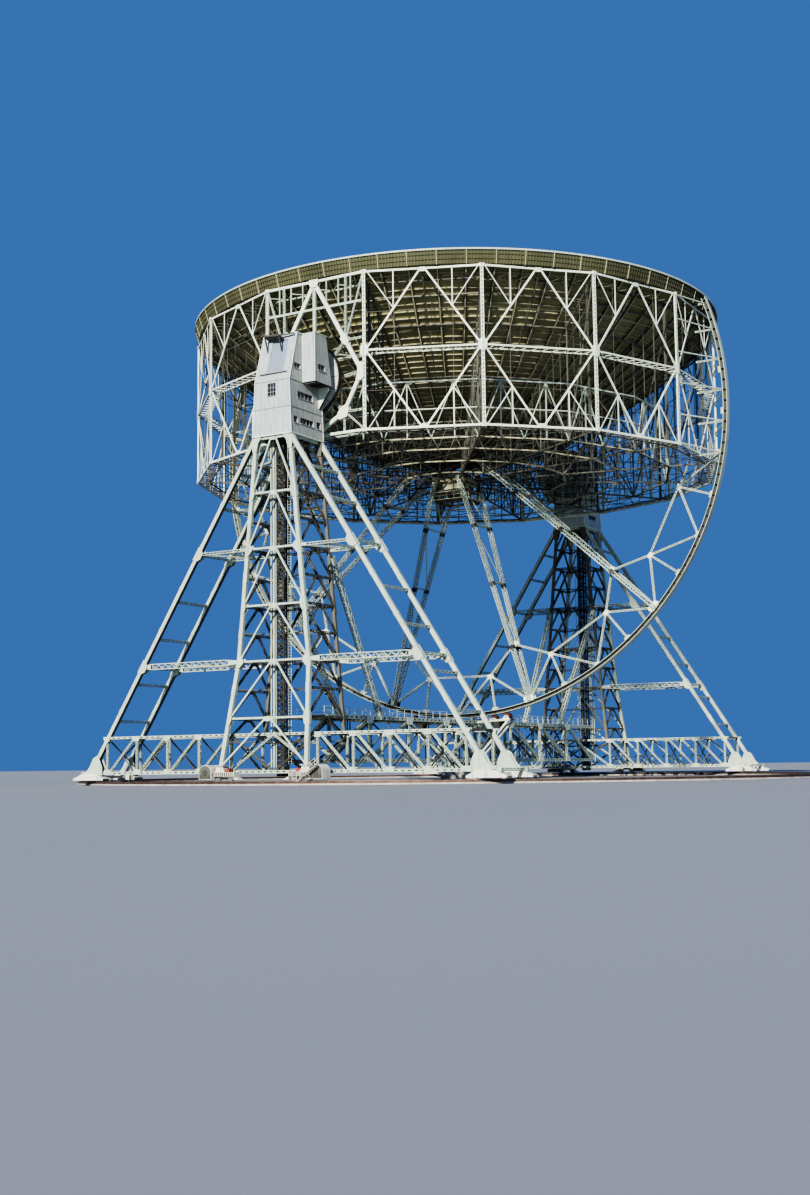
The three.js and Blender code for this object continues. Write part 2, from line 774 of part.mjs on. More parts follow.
const HOUSE_BOTTOM = TOWER_TOP_Z + STRUT / 2 + SEAT_GAP;
const HOUSE_SEAM = 48.35;
const HOUSE_TOP = 54.4;
const HOUSE_INNER = 39.4;
const HOUSE_OUTER = 46.3;

function houseSection(side, outerX, half, z) {
  return [
    towerPoint(side, outerX, -half, z),
    towerPoint(side, outerX, half, z),
    towerPoint(side, HOUSE_INNER, -half, z),
    towerPoint(side, HOUSE_INNER, half, z),
  ];
}

function machineHouse(side) {
  const lower = hull([
    ...houseSection(side, HOUSE_OUTER, 2.82, HOUSE_BOTTOM),
    ...houseSection(side, HOUSE_OUTER - 0.05, 2.55, HOUSE_SEAM),
  ]);
  const upper = hull([
    ...houseSection(side, HOUSE_OUTER - 0.05, 2.55, HOUSE_SEAM),
    ...houseSection(side, 44.5, 2.48, HOUSE_TOP),
  ]);
  const bay = hull([
    ...[-2.4, -4.35].map((y) => towerPoint(side, 43.45, y, HOUSE_TOP)),
    ...[-2.4, -4.35].map((y) => towerPoint(side, 41.0, y, HOUSE_TOP)),
    ...[-2.4, -4.35].map((y) => towerPoint(side, 43.45, y, HOUSE_SEAM)),
    ...[-2.4, -4.35].map((y) => towerPoint(side, 39.75, y, HOUSE_SEAM)),
    towerPoint(side, 43.45, -2.5, 46.4),
    towerPoint(side, 40.1, -2.5, 46.4),
  ]);
  const shaftHole = rod(
    towerPoint(side, HOUSE_INNER - 1, 0, AXIS_Z),
    towerPoint(side, SHAFT_END + 0.1, 0, AXIS_Z),
    SHAFT_R + BEARING_GAP,
    SHAFT_SIDES,
  );
  return lower.add(upper).add(bay).subtract(shaftHole);
}

// Lift shaft and the pipe beside it, hung inside the tower below the house.
function liftShaft(side) {
  const low = 0.9;
  const high = HOUSE_BOTTOM - SEAT_GAP;
  const shaft = sideBox(side, 43.6, 44.7, -0.55, 0.55, low, high);
  const pipe = rod(
    towerPoint(side, 44.4, 1.1, 2.0),
    towerPoint(side, 44.4, 1.1, high),
    0.22,
    6,
  );
  const clamps = LEVELS.slice(1, -1).map((z) => sideBox(side, 44.2, 44.6, 0.4, 1.1, z, z + 0.3));
  return union([shaft, pipe, ...clamps]);
}

// Bogies

function bogieWheels(side, radius, angles) {
  const z = RAIL_TOP_Z + WHEEL_RADIUS + SEAT_GAP;
  return angles.map((degrees) => {
    const angle = THREE.MathUtils.degToRad(degrees);
    const at = (r) => towerPoint(side, r * Math.cos(angle), r * Math.sin(angle), z);
    return rod(at(radius - 0.12), at(radius + 0.12), WHEEL_RADIUS, 8);
  });
}

// Driven bogie under an outer tower leg, with its motor housing.
function driveBogie(side, sign) {
  const foot = HALF_WIDTHS[HALF_WIDTHS.length - 1];
  const y = (value) => sign * (foot + value);
  const block = sideBox(side, 47.5, 48.7, y(-2.2), y(1.0), 0.95, 1.55);
  const housing = sideBox(side, 47.3, 49.0, y(0.9), y(2.7), 0.62, 2.35);
  const saddle = sideBox(side, 47.7, 48.5, y(-0.45), y(0.45), 1.4, LEVELS[LEVELS.length - 1]);
  const middle = THREE.MathUtils.radToDeg(Math.asin(foot / INNER_RAIL_R));
  const wheels = bogieWheels(
    side,
    INNER_RAIL_R,
    [-1.9, 0.5].map((turn) => sign * (middle + turn)),
  );
  return union([block, housing, saddle, ...wheels]);
}

// Bogie pair under the feet of two raking legs: one runs on each rail.
function endBogie(side, sign) {
  const y = sign * (RAKER_FOOT_Y + 0.1);
  const beam = sideBox(side, INNER_X - 0.4, OUTER_X + 0.4, y - 0.3, y + 0.3, 0.85, 1.2);
  const pieces = [beam];
  for (const [out, radius] of [
    [INNER_X, INNER_RAIL_R],
    [OUTER_X, OUTER_RAIL_R],
  ]) {
    const angle = THREE.MathUtils.radToDeg(Math.atan2(RAKER_FOOT_Y, out));
    pieces.push(sideBox(side, out - 0.7, out + 0.7, y - 1.5, y + 1.5, 0.75, 1.2));
    pieces.push(...bogieWheels(side, radius, [-1.1, 1.1].map((turn) => sign * (angle + turn))));
  }
  return union(pieces);
}

function rail(radius) {
  const inner = radius - RAIL_WIDTH / 2;
  const outer = radius + RAIL_WIDTH / 2;
  return revolve(
    [
      [inner, 0],
      [outer, 0],
      [outer, RAIL_TOP_Z],
      [inner, RAIL_TOP_Z],
    ],
    RAIL_SIDES,
  );
}

// Assembly: each node is cut clear of what it leans on by the seat gap.

const SIDES = [
  ["near", -1],
  ["far", 1],
];
const telescope = new THREE.Group();
const track = new THREE.Group();
const turntable = new THREE.Group();
const reflector = new THREE.Group();
const cabin = new THREE.Group();
telescope.add(track, turntable, reflector, cabin);

track.add(meshOf("outer_rail", rail(OUTER_RAIL_R), railSteel));
track.add(meshOf("inner_rail", rail(INNER_RAIL_R), railSteel));
track.add(meshOf("pivot_base", pivotBase(), concrete));

const towerClear = new Map();
const girderClear = new Map();
for (const [word, side] of SIDES) {
  const tower = towerMembers(side);
  towerClear.set(side, fuse(tower, SEAT_GAP));
  turntable.add(meshOf(`${word}_tower`, fuse(tower), paint));
  const rakers = [-1, 1].map((sign) => rakerMembers(side, sign));
  const rakersClear = rakers.map((members) => fuse(members, SEAT_GAP));
  rakers.forEach((members, i) => {
    const name = `${word}_raking_legs_${i === 0 ? "a" : "b"}`;
    turntable.add(meshOf(name, fuse(members).subtract(towerClear.get(side)), paint));
  });
  const girder = baseGirderMembers(side);
  const girderSolid = rakersClear.reduce(
    (solid, cutter) => solid.subtract(cutter),
    fuse(girder).subtract(towerClear.get(side)),
  );
  girderClear.set(side, fuse(girder, SEAT_GAP));
  turntable.add(meshOf(`${word}_base_girder`, girderSolid, paint));
  turntable.add(meshOf(`${word}_machine_house`, machineHouse(side), cladding));
  turntable.add(meshOf(`${word}_lift_shaft`, liftShaft(side), darkPaint));
  for (const [letter, sign] of [
    ["a", -1],
    ["b", 1],
  ]) {
    const drive = driveBogie(side, sign)
      .subtract(towerClear.get(side))
      .subtract(girderClear.get(side));
    turntable.add(meshOf(`${word}_drive_bogie_${letter}`, drive, housingPaint));
    const end = endBogie(side, sign)
      .subtract(girderClear.get(side))
      .subtract(rakersClear[sign < 0 ? 0 : 1]);
    turntable.add(meshOf(`${word}_end_bogies_${letter}`, end, housingPaint));
  }
}

const link = SIDES.reduce(
  (solid, [, side]) => solid.subtract(towerClear.get(side)).subtract(girderClear.get(side)),
  fuse(linkMembers()),
);
turntable.add(meshOf("diametral_girder", link.add(linkBoss()), paint));
turntable.add(meshOf("ring_rollers", ringRollers(), darkPaint));

reflector.add(meshOf("bowl_skin", bowlSkin(), skinPaint));
const runs = [
  [1, 2],
  [3, 5],
  [6, 7],
  [9, 10],
  [11, 13],
  [14, 15],
];
const runsClear = [];
runs.forEach(([first, last], i) => {
  const members = drumRun(first, last);
  const solid = runsClear.reduce((whole, cutter) => whole.subtract(cutter), fuse(members));
  runsClear.push(fuse(members, SEAT_GAP));
  reflector.add(meshOf(`drum_sides_${i + 1}`, solid, paint));
});
const drumClear = union(runsClear);
const wheelWeb = [...webMembers(-1), ...webMembers(1), ...webCrown()];
for (const [word, side] of SIDES) {
  const panel = trunnionSide(side).subtract(drumClear);
  reflector.add(meshOf(`${word}_trunnion_frame`, panel, paint));
}
const hubClear = fuse(hubMembers(), SEAT_GAP);
reflector.add(meshOf("hub_frame", fuse(hubMembers()), paint));
const trunnionClear = union(SIDES.map(([, side]) => fuse(trunnionMembers(side), SEAT_GAP)));
const grid = fuse(bottomGrid()).subtract(drumClear).subtract(trunnionClear).subtract(hubClear);
reflector.add(meshOf("bottom_grid", grid, darkPaint));
reflector.add(meshOf("aerial_mast", fuse(aerialMast()), paint));

const wheelSolid = fuse(wheelWeb).add(wheelBand()).subtract(drumClear);
reflector.add(meshOf("stabilising_wheel", wheelSolid, paint));
const wheelClear = fuse(wheelWeb, SEAT_GAP).add(wheelBand(SEAT_GAP));
const gridClear = fuse(bottomGrid(), SEAT_GAP);
[-3, -1, 1, 3].forEach((turn, i) => {
  const solid = [wheelClear, hubClear, gridClear].reduce(
    (whole, cutter) => whole.subtract(cutter),
    fuse(boomMembers(turn * WEB_STEP)),
  );
  reflector.add(meshOf(`wheel_booms_${i + 1}`, solid, paint));
});
cabin.add(meshOf("laboratory", laboratory(), labPaint));

export default telescope;
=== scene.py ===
"""Blender scene of the radio telescope dish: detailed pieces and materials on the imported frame.

Lengths in this file are metres of the full-size structure. SCALE turns them into the 1:10 model.
Z is up, X is the elevation axis, and the wheel under the bowl lies in the plane x = 0.
"""

import math
from functools import partial

import bpy
import numpy as np
from mathutils import Matrix, Vector


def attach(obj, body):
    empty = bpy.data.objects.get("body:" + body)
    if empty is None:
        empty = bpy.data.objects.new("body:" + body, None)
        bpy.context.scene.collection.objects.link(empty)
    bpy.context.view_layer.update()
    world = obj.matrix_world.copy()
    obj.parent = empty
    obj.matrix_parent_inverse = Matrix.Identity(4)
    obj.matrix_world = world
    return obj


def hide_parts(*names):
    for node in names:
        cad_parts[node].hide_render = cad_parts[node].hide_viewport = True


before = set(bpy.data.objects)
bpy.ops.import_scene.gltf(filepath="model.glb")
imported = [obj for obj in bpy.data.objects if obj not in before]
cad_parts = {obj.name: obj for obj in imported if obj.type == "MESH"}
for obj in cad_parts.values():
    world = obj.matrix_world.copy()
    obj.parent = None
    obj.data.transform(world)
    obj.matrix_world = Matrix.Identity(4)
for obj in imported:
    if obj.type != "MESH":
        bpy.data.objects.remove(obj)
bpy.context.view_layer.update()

SCALE = 0.1
UP = np.array([0.0, 0.0, 1.0])
EX = np.array([1.0, 0.0, 0.0])
EY = np.array([0.0, 1.0, 0.0])

# Driving dimensions, the same as in the part's source
AXIS_Z = 50.0
FOCAL_LENGTH = 19.05
RIM_Z = 65.3
BOWL_R = 38.1
DRUM_R = 37.7
DRUM_TOP, DRUM_MID, DRUM_BOTTOM = 63.2, 53.2, 43.2
BAYS = 16
BAY_STEP = 2 * math.pi / BAYS
DRUM_PLANE = DRUM_R * math.cos(BAY_STEP / 2)
HALF_BAY = DRUM_R * math.sin(BAY_STEP / 2)
RING_DEPTH = 1.7
RING_LEVELS = (DRUM_MID, DRUM_BOTTOM, DRUM_TOP - 1.0)
HUB_LEVELS = (40.2, 41.7, DRUM_BOTTOM, 45.2)
SKIN_SIDES, RAYS = 160, 64
WHEEL_R = 40.95
WHEEL_END = 110.5
WEB_R = 35.7
KNUCKLE_R = 32.3
WEB_STEP = 16
OUTER_X, INNER_X, FOOT_X = 46.0, 39.7, 48.1
LEVELS = [41.55, 34.85, 28.1, 21.25, 14.6, 7.8, 2.2]
HALF_WIDTHS = [2.45, 3.05, 3.75, 4.4, 5.05, 5.6, 6.1]
KNEE = 4
RAKER_TOP_Y, RAKER_FOOT_Y, RAKER_FOOT_Z = 2.6, 27.9, 2.2
GIRDER_TOP, GIRDER_BOTTOM = 5.9, 1.5
PANEL_POINTS = [6.2, 11.1, 16.0, 20.9, 25.7]
LINK_TOP, LINK_BOTTOM, LINK_Y = 8.1, 2.7, 3.0
INNER_RAIL_R, OUTER_RAIL_R, RAIL_TOP = 48.5, 53.7, 0.45


# Geometry helpers


def vec(*values):
    return np.array(values, float)


def unit(v):
    return v / np.linalg.norm(v, axis=-1, keepdims=True)


def mix(a, b, share):
    return a + (b - a) * share


def stations(count):
    """Shares from 0 to 1 in that many steps."""
    return np.linspace(0.0, 1.0, count + 1)


def rectangle(width, depth):
    w, d = width / 2, depth / 2
    return np.array([[-w, -d], [w, -d], [w, d], [-w, d]])


def chamfered(width, depth, cut):
    w, d = width / 2, depth / 2
    right = np.array([[w - cut, -d], [w, cut - d], [w, d - cut], [w - cut, d]])
    return np.roll(np.vstack([right, -right]), 1, axis=0)


def circle(radius, sides):
    turn = full_turn(sides)
    return np.stack([radius * np.cos(turn), radius * np.sin(turn)], axis=1)


def square(size):
    return rectangle(size, size)


def full_turn(steps):
    """The angles of a whole turn in that many steps."""
    return np.arange(steps) * 2 * math.pi / steps


def tangent(turn):
    """The level direction round a circle, at one angle of it."""
    return vec(-math.sin(turn), math.cos(turn), 0)


def band(inner, outer, low, high):
    """The outline of a plain ring, to be revolved."""
    return [[inner, low], [outer, low], [outer, high], [inner, high]]


def lying(sign=1, x=0.0, y=0.0, z=AXIS_Z):
    """The place of a revolved shape whose axis is turned to X."""
    return np.array([[0, 0, sign, x], [0, sign, 0, y], [-1, 0, 0, z]], float)


def girder_frame(a, b, normal):
    """The length of a girder and its directions: along it, across it and out of its face."""
    span = np.linalg.norm(b - a)
    along = (b - a) / span
    side = np.cross(normal, along)
    side = unit(side) if np.linalg.norm(side) > 1e-3 else unit(np.cross(EX, along))
    return span, along, side, np.cross(along, side)


class Piece:
    """Shapes collected as arrays, in full-size metres, that become one mesh object."""

    def __init__(self, seed):
        self.random = np.random.default_rng(seed)
        self.points, self.faces, self.looks = [], [], []
        self.total = 0

    def add(self, points, faces, look=0, shade=None, smooth=False):
        """points (n, 3) and lists of face arrays (f, k), with one shade for each face."""
        points = np.asarray(points, float).reshape(-1, 3)
        for rows, tone in faces:
            rows = np.asarray(rows, int)
            tone = np.broadcast_to(np.asarray(tone if shade is None else shade, float), len(rows))
            self.faces.append(rows + self.total)
            self.looks.append((look, tone, smooth))
        self.points.append(points)
        self.total += len(points)

    def bars(self, a, b, profile, normal=UP, look=0, shade=None, smooth=False):
        """Straight bars of one profile from each point of a to the same row of b."""
        a, b = np.atleast_2d(np.asarray(a, float)), np.atleast_2d(np.asarray(b, float))
        a, b = np.broadcast_arrays(a, b)
        n, k = len(a), len(profile)
        along = unit(b - a)
        facing = np.broadcast_to(np.asarray(normal, float), a.shape)
        side = np.cross(facing, along)
        length = np.linalg.norm(side, axis=1, keepdims=True)
        spare = np.cross(np.where(np.abs(along[:, :1]) < 0.9, EX, EY), along)
        side = unit(np.where(length > 1e-3, side, spare))
        rise = np.cross(along, side)
        ring = profile[None, :, :1] * side[:, None] + profile[None, :, 1:] * rise[:, None]
        points = np.concatenate([a[:, None] + ring, b[:, None] + ring], axis=1)
        i = np.arange(k)
        j = (i + 1) % k
        start = np.arange(n)[:, None, None] * 2 * k
        sides = np.stack([i, j, j + k, i + k], axis=1)[None] + start
        caps = np.stack([i[::-1], i + k])[None] + start
        tone = self.random.random(n) if shade is None else np.full(n, float(shade))
        self.add(
            points,
            [
                (sides.reshape(-1, 4), np.repeat(tone, k)),
                (caps.reshape(-1, k), np.repeat(tone, 2)),
            ],
            look,
            None,
            smooth,
        )

    def path(self, points, profile, normal=UP, look=0, shade=None, smooth=False):
        points = np.asarray(points, float)
        self.bars(points[:-1], points[1:], profile, normal, look, shade, smooth)

    def tube(self, points, radius, sides=8, look=0, shade=None):
        self.path(points, circle(radius, sides), UP + 0.01 * EX, look, shade, True)

    def box(self, low, high, look=0, shade=None):
        low, high = np.minimum(low, high), np.maximum(low, high)
        middle = (np.asarray(low) + np.asarray(high)) / 2
        size = np.asarray(high) - np.asarray(low)
        a, b = middle.copy(), middle.copy()
        a[2], b[2] = low[2], high[2]
        self.bars(a, b, rectangle(size[0], size[1]), EY, look, shade)

    def slab(self, outline, offset, look=0, shade=None):
        """A flat plate: an outline of points, thickened to both sides by half the offset."""
        outline = np.asarray(outline, float)
        half = np.asarray(offset, float) / 2
        k = len(outline)
        middle = outline.mean(axis=0)
        turn = np.cross(outline[0] - middle, outline[1] - middle)
        if np.dot(turn, half) < 0:
            outline = outline[::-1]
        i = np.arange(k)
        j = (i + 1) % k
        tone = self.random.random() if shade is None else shade
        self.add(
            np.concatenate([outline - half, outline + half]),
            [
                (np.stack([i, j, j + k, i + k], axis=1), tone),
                (np.stack([i[::-1], i + k]), tone),
            ],
            look,
        )

    def revolve(
        self,
        outline,
        segments,
        look=0,
        start=0.0,
        sweep=360.0,
        shade=None,
        smooth=True,
        place=None,
        closed=True,
    ):
        """Turns an outline of [radius, height] about the vertical axis, then places it."""
        outline = np.asarray(outline, float)
        k = len(outline)
        full = abs(sweep) >= 360.0
        turn = np.radians(start + sweep * np.arange(segments + (0 if full else 1)) / segments)
        points = np.stack(
            [
                np.cos(turn)[:, None] * outline[None, :, 0],
                np.sin(turn)[:, None] * outline[None, :, 0],
                np.broadcast_to(outline[None, :, 1], (len(turn), k)),
            ],
            axis=2,
        ).reshape(-1, 3)
        if place is not None:
            points = points @ place[:3, :3].T + place[:3, 3]
        rows = np.arange(segments)
        ahead = (rows + 1) % len(turn)
        i = np.arange(k if closed else k - 1)
        j = (i + 1) % k
        quads = np.stack(
            [
                rows[:, None] * k + i[None],
                ahead[:, None] * k + i[None],
                ahead[:, None] * k + j[None],
                rows[:, None] * k + j[None],
            ],
            axis=2,
        ).reshape(-1, 4)
        tone = 0.5 if shade is None else shade
        faces = [(quads, tone)]
        if closed and not full:
            i = np.arange(k)
            faces.append((np.stack([i, (i + segments * k)[::-1]]), tone))
        self.add(points, faces, look, None, smooth)

    def laced(self, a, b, width, depth, normal=UP, pitch=0.5, edge=0.07, flat=0.05,
              look=0, faces=4, plate=0.8, cross=False):
        """A laced girder: four corner bars, zigzag flats on its faces and plates at its ends."""
        a, b = np.asarray(a, float), np.asarray(b, float)
        span, along, side, rise = girder_frame(a, b, normal)
        w, d = width / 2 - edge / 2, depth / 2 - edge / 2
        corners = np.array([side * w * i + rise * d * j for i, j in ((-1, -1), (1, -1), (1, 1), (-1, 1))])
        self.bars(a + corners, b + corners, square(edge), rise, look)
        count = max(2, int(round(span / pitch)))
        share = stations(count)[:, None]
        line = a + (b - a) * share
        ways = [(rise * (d + edge / 2), side * w, rise), (-rise * (d + edge / 2), side * w, rise)]
        if faces == 4:
            ways += [(side * (w + edge / 2), rise * d, side), (-side * (w + edge / 2), rise * d, side)]
        for shift, swing, facing in ways[:faces]:
            sign = np.where(np.arange(count + 1) % 2 == 0, 1.0, -1.0)[:, None]
            for flip in (1, -1) if cross else (1,):
                zigzag = line + shift + swing * sign * flip
                self.bars(zigzag[:-1], zigzag[1:], rectangle(flat, 0.03), facing, look)
            if plate:
                reach = along * plate
                wide = 2 * np.linalg.norm(swing) + edge
                ends = np.array([a, b - reach]) + shift
                self.bars(ends, ends + reach, rectangle(wide, 0.04), facing, look)

    def battened(self, a, b, width, depth, normal=UP, pitch=0.9, gap=0.45, edge=0.14, look=0):
        """Two channels joined by plates on both faces, with slots between the plates."""
        a, b = np.asarray(a, float), np.asarray(b, float)
        span, along, side, rise = girder_frame(a, b, normal)
        swing = side * (width / 2 - edge / 2)
        self.bars([a - swing, a + swing], [b - swing, b + swing], rectangle(edge, depth), rise, look)
        count = max(2, int(round(span / pitch)))
        starts = a + along * (span * np.arange(count)[:, None] / count)
        reach = along * (span / count - gap)
        for sign in (-1, 1):
            lift = rise * sign * (depth / 2 - 0.02)
            self.bars(starts + lift, starts + reach + lift, rectangle(width - edge, 0.03), rise, look)

    def finish(self, name, body, slot, nodes, materials, angle=32.0):
        """Makes the object, puts it on its body and hides the frame's nodes it stands for."""
        mesh = bpy.data.meshes.new(name)
        points = np.concatenate(self.points) * SCALE
        sizes = np.concatenate([np.full(len(rows), rows.shape[1]) for rows in self.faces])
        corners = np.concatenate([rows.ravel() for rows in self.faces])
        mesh.vertices.add(len(points))
        mesh.vertices.foreach_set("co", points.astype(np.float32).ravel())
        mesh.loops.add(len(corners))
        mesh.loops.foreach_set("vertex_index", corners.astype(np.int32))
        mesh.polygons.add(len(sizes))
        starts = np.concatenate([[0], np.cumsum(sizes)[:-1]])
        mesh.polygons.foreach_set("loop_start", starts.astype(np.int32))
        look = np.concatenate([np.full(len(r), l[0]) for r, l in zip(self.faces, self.looks)])
        smooth = np.concatenate([np.full(len(r), l[2]) for r, l in zip(self.faces, self.looks)])
        shade = np.concatenate([l[1] for l in self.looks])
        mesh.polygons.foreach_set("material_index", look.astype(np.int32))
        mesh.polygons.foreach_set("use_smooth", smooth.astype(bool))
        mesh.update(calc_edges=True)
        mesh.attributes.new("shade", "FLOAT", "FACE").data.foreach_set("value", shade.astype(np.float32))
        mesh.validate()
        mesh.set_sharp_from_angle(angle=math.radians(angle))
        for material in materials:
            mesh.materials.append(material)
        obj = bpy.data.objects.new(name, mesh)
        bpy.context.scene.collection.objects.link(obj)
        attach(obj, body)
        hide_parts(*nodes)
        return obj


# Materials


class Nodes:
    """A small helper that makes and joins shader nodes."""

    def __init__(self, name):
        self.material = bpy.data.materials.new(name)
        self.material.use_nodes = True
        self.tree = self.material.node_tree
        self.shader = self.tree.nodes["Principled BSDF"]
        self.coordinates = self.make("ShaderNodeTexCoord").outputs["Object"]

    def feed(self, value, socket):
        """Joins an output to a socket, or sets the socket to a number, a colour or a scale."""
        if isinstance(value, bpy.types.NodeSocket):
            self.tree.links.new(value, socket)
        else:
            socket.default_value = (*value, 1.0) if socket.type == "RGBA" else value

    def make(self, kind, inputs=None, **settings):
        node = self.tree.nodes.new(kind)
        for key, value in settings.items():
            setattr(node, key, value)
        for key, value in (inputs or {}).items():
            self.feed(value, node.inputs[key])
        return node

    def noise(self, scale, detail=3.0, stretch=(1, 1, 1), rough=0.55):
        mapping = self.make("ShaderNodeMapping", {"Scale": stretch, "Vector": self.coordinates})
        inputs = {"Scale": scale, "Detail": detail, "Roughness": rough, "Vector": mapping.outputs["Vector"]}
        return self.make("ShaderNodeTexNoise", inputs).outputs["Fac"]

    def ramp(self, value, low, high, to_low=0.0, to_high=1.0):
        inputs = {"From Min": low, "From Max": high, "To Min": to_low, "To Max": to_high, "Value": value}
        return self.make("ShaderNodeMapRange", inputs).outputs["Result"]

    def math(self, operation, *values):
        return self.make("ShaderNodeMath", dict(enumerate(values)), operation=operation).outputs["Value"]

    def blend(self, share, first, second):
        node = self.make("ShaderNodeMix", data_type="RGBA")
        for name, value in (("Factor", share), ("A", first), ("B", second)):
            self.feed(value, [s for s in node.inputs if s.name == name and s.enabled][0])
        return [s for s in node.outputs if s.enabled][0]

    def shade(self):
        return self.make("ShaderNodeAttribute", attribute_name="shade").outputs["Fac"]

    def bump(self, height, strength, distance):
        node = self.make("ShaderNodeBump", {"Strength": strength, "Distance": distance, "Height": height})
        self.feed(node.outputs["Normal"], self.shader.inputs["Normal"])

    def split(self):
        return self.make("ShaderNodeSeparateXYZ", {"Vector": self.coordinates}).outputs

    def finish(self, color, rough, metal=0.0):
        for key, value in (("Base Color", color), ("Roughness", rough), ("Metallic", metal)):
            self.feed(value, self.shader.inputs[key])
        return self.material


def paint(name, light, dark, rust=0.35, rough=0.55, metal=0.0, grime=(0.16, 0.14, 0.11), streak=0.35):
    """Weathered paint: a tone for each member, blotches, grime that runs down, and rust spots."""
    n = Nodes(name)
    tone = n.blend(n.shade(), light, dark)
    blotch = n.ramp(n.noise(4.0, 4.0), 0.38, 0.72, 0.0, 0.45)
    worn = n.blend(blotch, tone, tuple(c * 0.74 for c in light))
    runs = n.ramp(n.noise(22.0, 3.0, (1, 1, 0.12)), 0.5, 0.78, 0.0, streak)
    dirty = n.blend(runs, worn, grime)
    spots = n.ramp(n.noise(16.0, 6.0, rough=0.7), 0.62, 0.72, 0.0, rust)
    color = n.blend(spots, dirty, (0.2, 0.085, 0.04))
    n.bump(n.noise(60.0, 4.0), 0.25, 0.004)
    return n.finish(color, n.ramp(blotch, 0.0, 0.45, rough, min(1.0, rough + 0.2)), metal)


def ribbed(name, light, dark, axis, pitch=0.22):
    """Ribbed sheet cladding whose ribs follow each other along one axis."""
    n = Nodes(name)
    x = n.split()[axis]
    wave = n.math("SINE", n.math("MULTIPLY", x, 2 * math.pi / (pitch * SCALE)))
    ribs = n.ramp(wave, -1.0, -0.9)
    tone = n.blend(n.shade(), light, dark)
    # A thin darker line at the trough of each rib: the joints on the wide panels, painted shade in the
    # troughs of the fine ribs
    joint_and_trough_shade = n.blend(n.ramp(wave, -1.0, -0.95, 0.5, 0.0), tone, tuple(c * 0.5 for c in dark))
    blotch = n.ramp(n.noise(5.0, 4.0), 0.4, 0.75, 0.0, 0.4)
    worn = n.blend(blotch, joint_and_trough_shade, tuple(c * 0.8 for c in dark))
    runs = n.ramp(n.noise(34.0, 4.0, (1, 1, 0.14)), 0.42, 0.75, 0.0, 0.5)
    color = n.blend(runs, worn, (0.25, 0.25, 0.225))
    n.bump(ribs, 0.6, 0.004)
    return n.finish(color, n.ramp(blotch, 0.0, 0.4, 0.45, 0.65), 0.15)


def bowl_inside():
    """Pale sheet with seams in rings and rays, and water stains down the slope."""
    n = Nodes("bowl_inside")
    x, y, _ = n.split()
    radius = n.math("SQRT", n.math("ADD", n.math("MULTIPLY", x, x), n.math("MULTIPLY", y, y)))
    turn = n.math("ARCTAN2", y, x)
    rings = n.math("PINGPONG", radius, 0.045)
    rays = n.math("MULTIPLY", n.math("PINGPONG", turn, math.pi / 128), radius)
    seam = n.math("MINIMUM", n.ramp(rings, 0.0, 0.0022), n.ramp(rays, 0.0, 0.0022))
    base = n.blend(n.ramp(n.noise(1.3, 5.0), 0.35, 0.7), (0.66, 0.67, 0.63), (0.52, 0.53, 0.49))
    stained = n.blend(n.ramp(n.noise(9.0, 5.0), 0.52, 0.8, 0.0, 0.4), base, (0.3, 0.25, 0.18))
    seamed = n.blend(n.ramp(seam, 0.0, 1.0, 0.55, 0.0), stained, (0.2, 0.19, 0.17))
    n.bump(seam, 0.4, 0.003)
    return n.finish(seamed, 0.6)


def olive(name, light, dark):
    """Matt underside paint with rows of weld seams."""
    n = Nodes(name)
    x, y, _ = n.split()
    turn = n.math("ARCTAN2", y, x)
    rays = n.math("PINGPONG", turn, math.pi / 128)
    tone = n.blend(n.ramp(n.noise(2.2, 5.0), 0.35, 0.7), light, dark)
    streaks = n.blend(n.ramp(n.noise(30.0, 3.0, (1, 1, 0.2)), 0.5, 0.8, 0.0, 0.4), tone, (0.1, 0.09, 0.06))
    seamed = n.blend(n.ramp(rays, 0.0, 0.0012, 0.4, 0.0), streaks, (0.07, 0.07, 0.05))
    spots = n.blend(n.ramp(n.noise(12.0, 6.0), 0.64, 0.75, 0.0, 0.5), seamed, (0.22, 0.11, 0.05))
    n.bump(n.noise(40.0, 4.0), 0.3, 0.004)
    return n.finish(spots, 0.8)


def glass():
    n = Nodes("window_glass")
    tone = n.blend(n.ramp(n.noise(7.0, 3.0), 0.35, 0.7), (0.02, 0.025, 0.03), (0.07, 0.085, 0.1))
    return n.finish(tone, n.ramp(n.noise(20.0, 3.0), 0.3, 0.7, 0.08, 0.25))


def steel(name, rusty, bright, spread):
    n = Nodes(name)
    tone = n.blend(n.ramp(n.noise(14.0, 5.0), 0.5 - spread, 0.5 + spread), rusty, bright)
    fine = n.blend(n.ramp(n.noise(90.0, 3.0), 0.4, 0.8, 0.0, 0.35), tone, (0.09, 0.06, 0.05))
    n.bump(n.noise(80.0, 4.0), 0.3, 0.003)
    return n.finish(fine, n.ramp(n.noise(30.0, 3.0), 0.3, 0.7, 0.35, 0.7), 0.6)


def concrete():
    n = Nodes("concrete")
    tone = n.blend(n.ramp(n.noise(6.0, 6.0), 0.35, 0.7), (0.5, 0.48, 0.44), (0.33, 0.32, 0.29))
    stained = n.blend(n.ramp(n.noise(25.0, 4.0, (1, 1, 0.3)), 0.55, 0.8, 0.0, 0.5), tone, (0.16, 0.14, 0.11))
    n.bump(n.noise(70.0, 5.0), 0.4, 0.004)
    return n.finish(stained, 0.9)


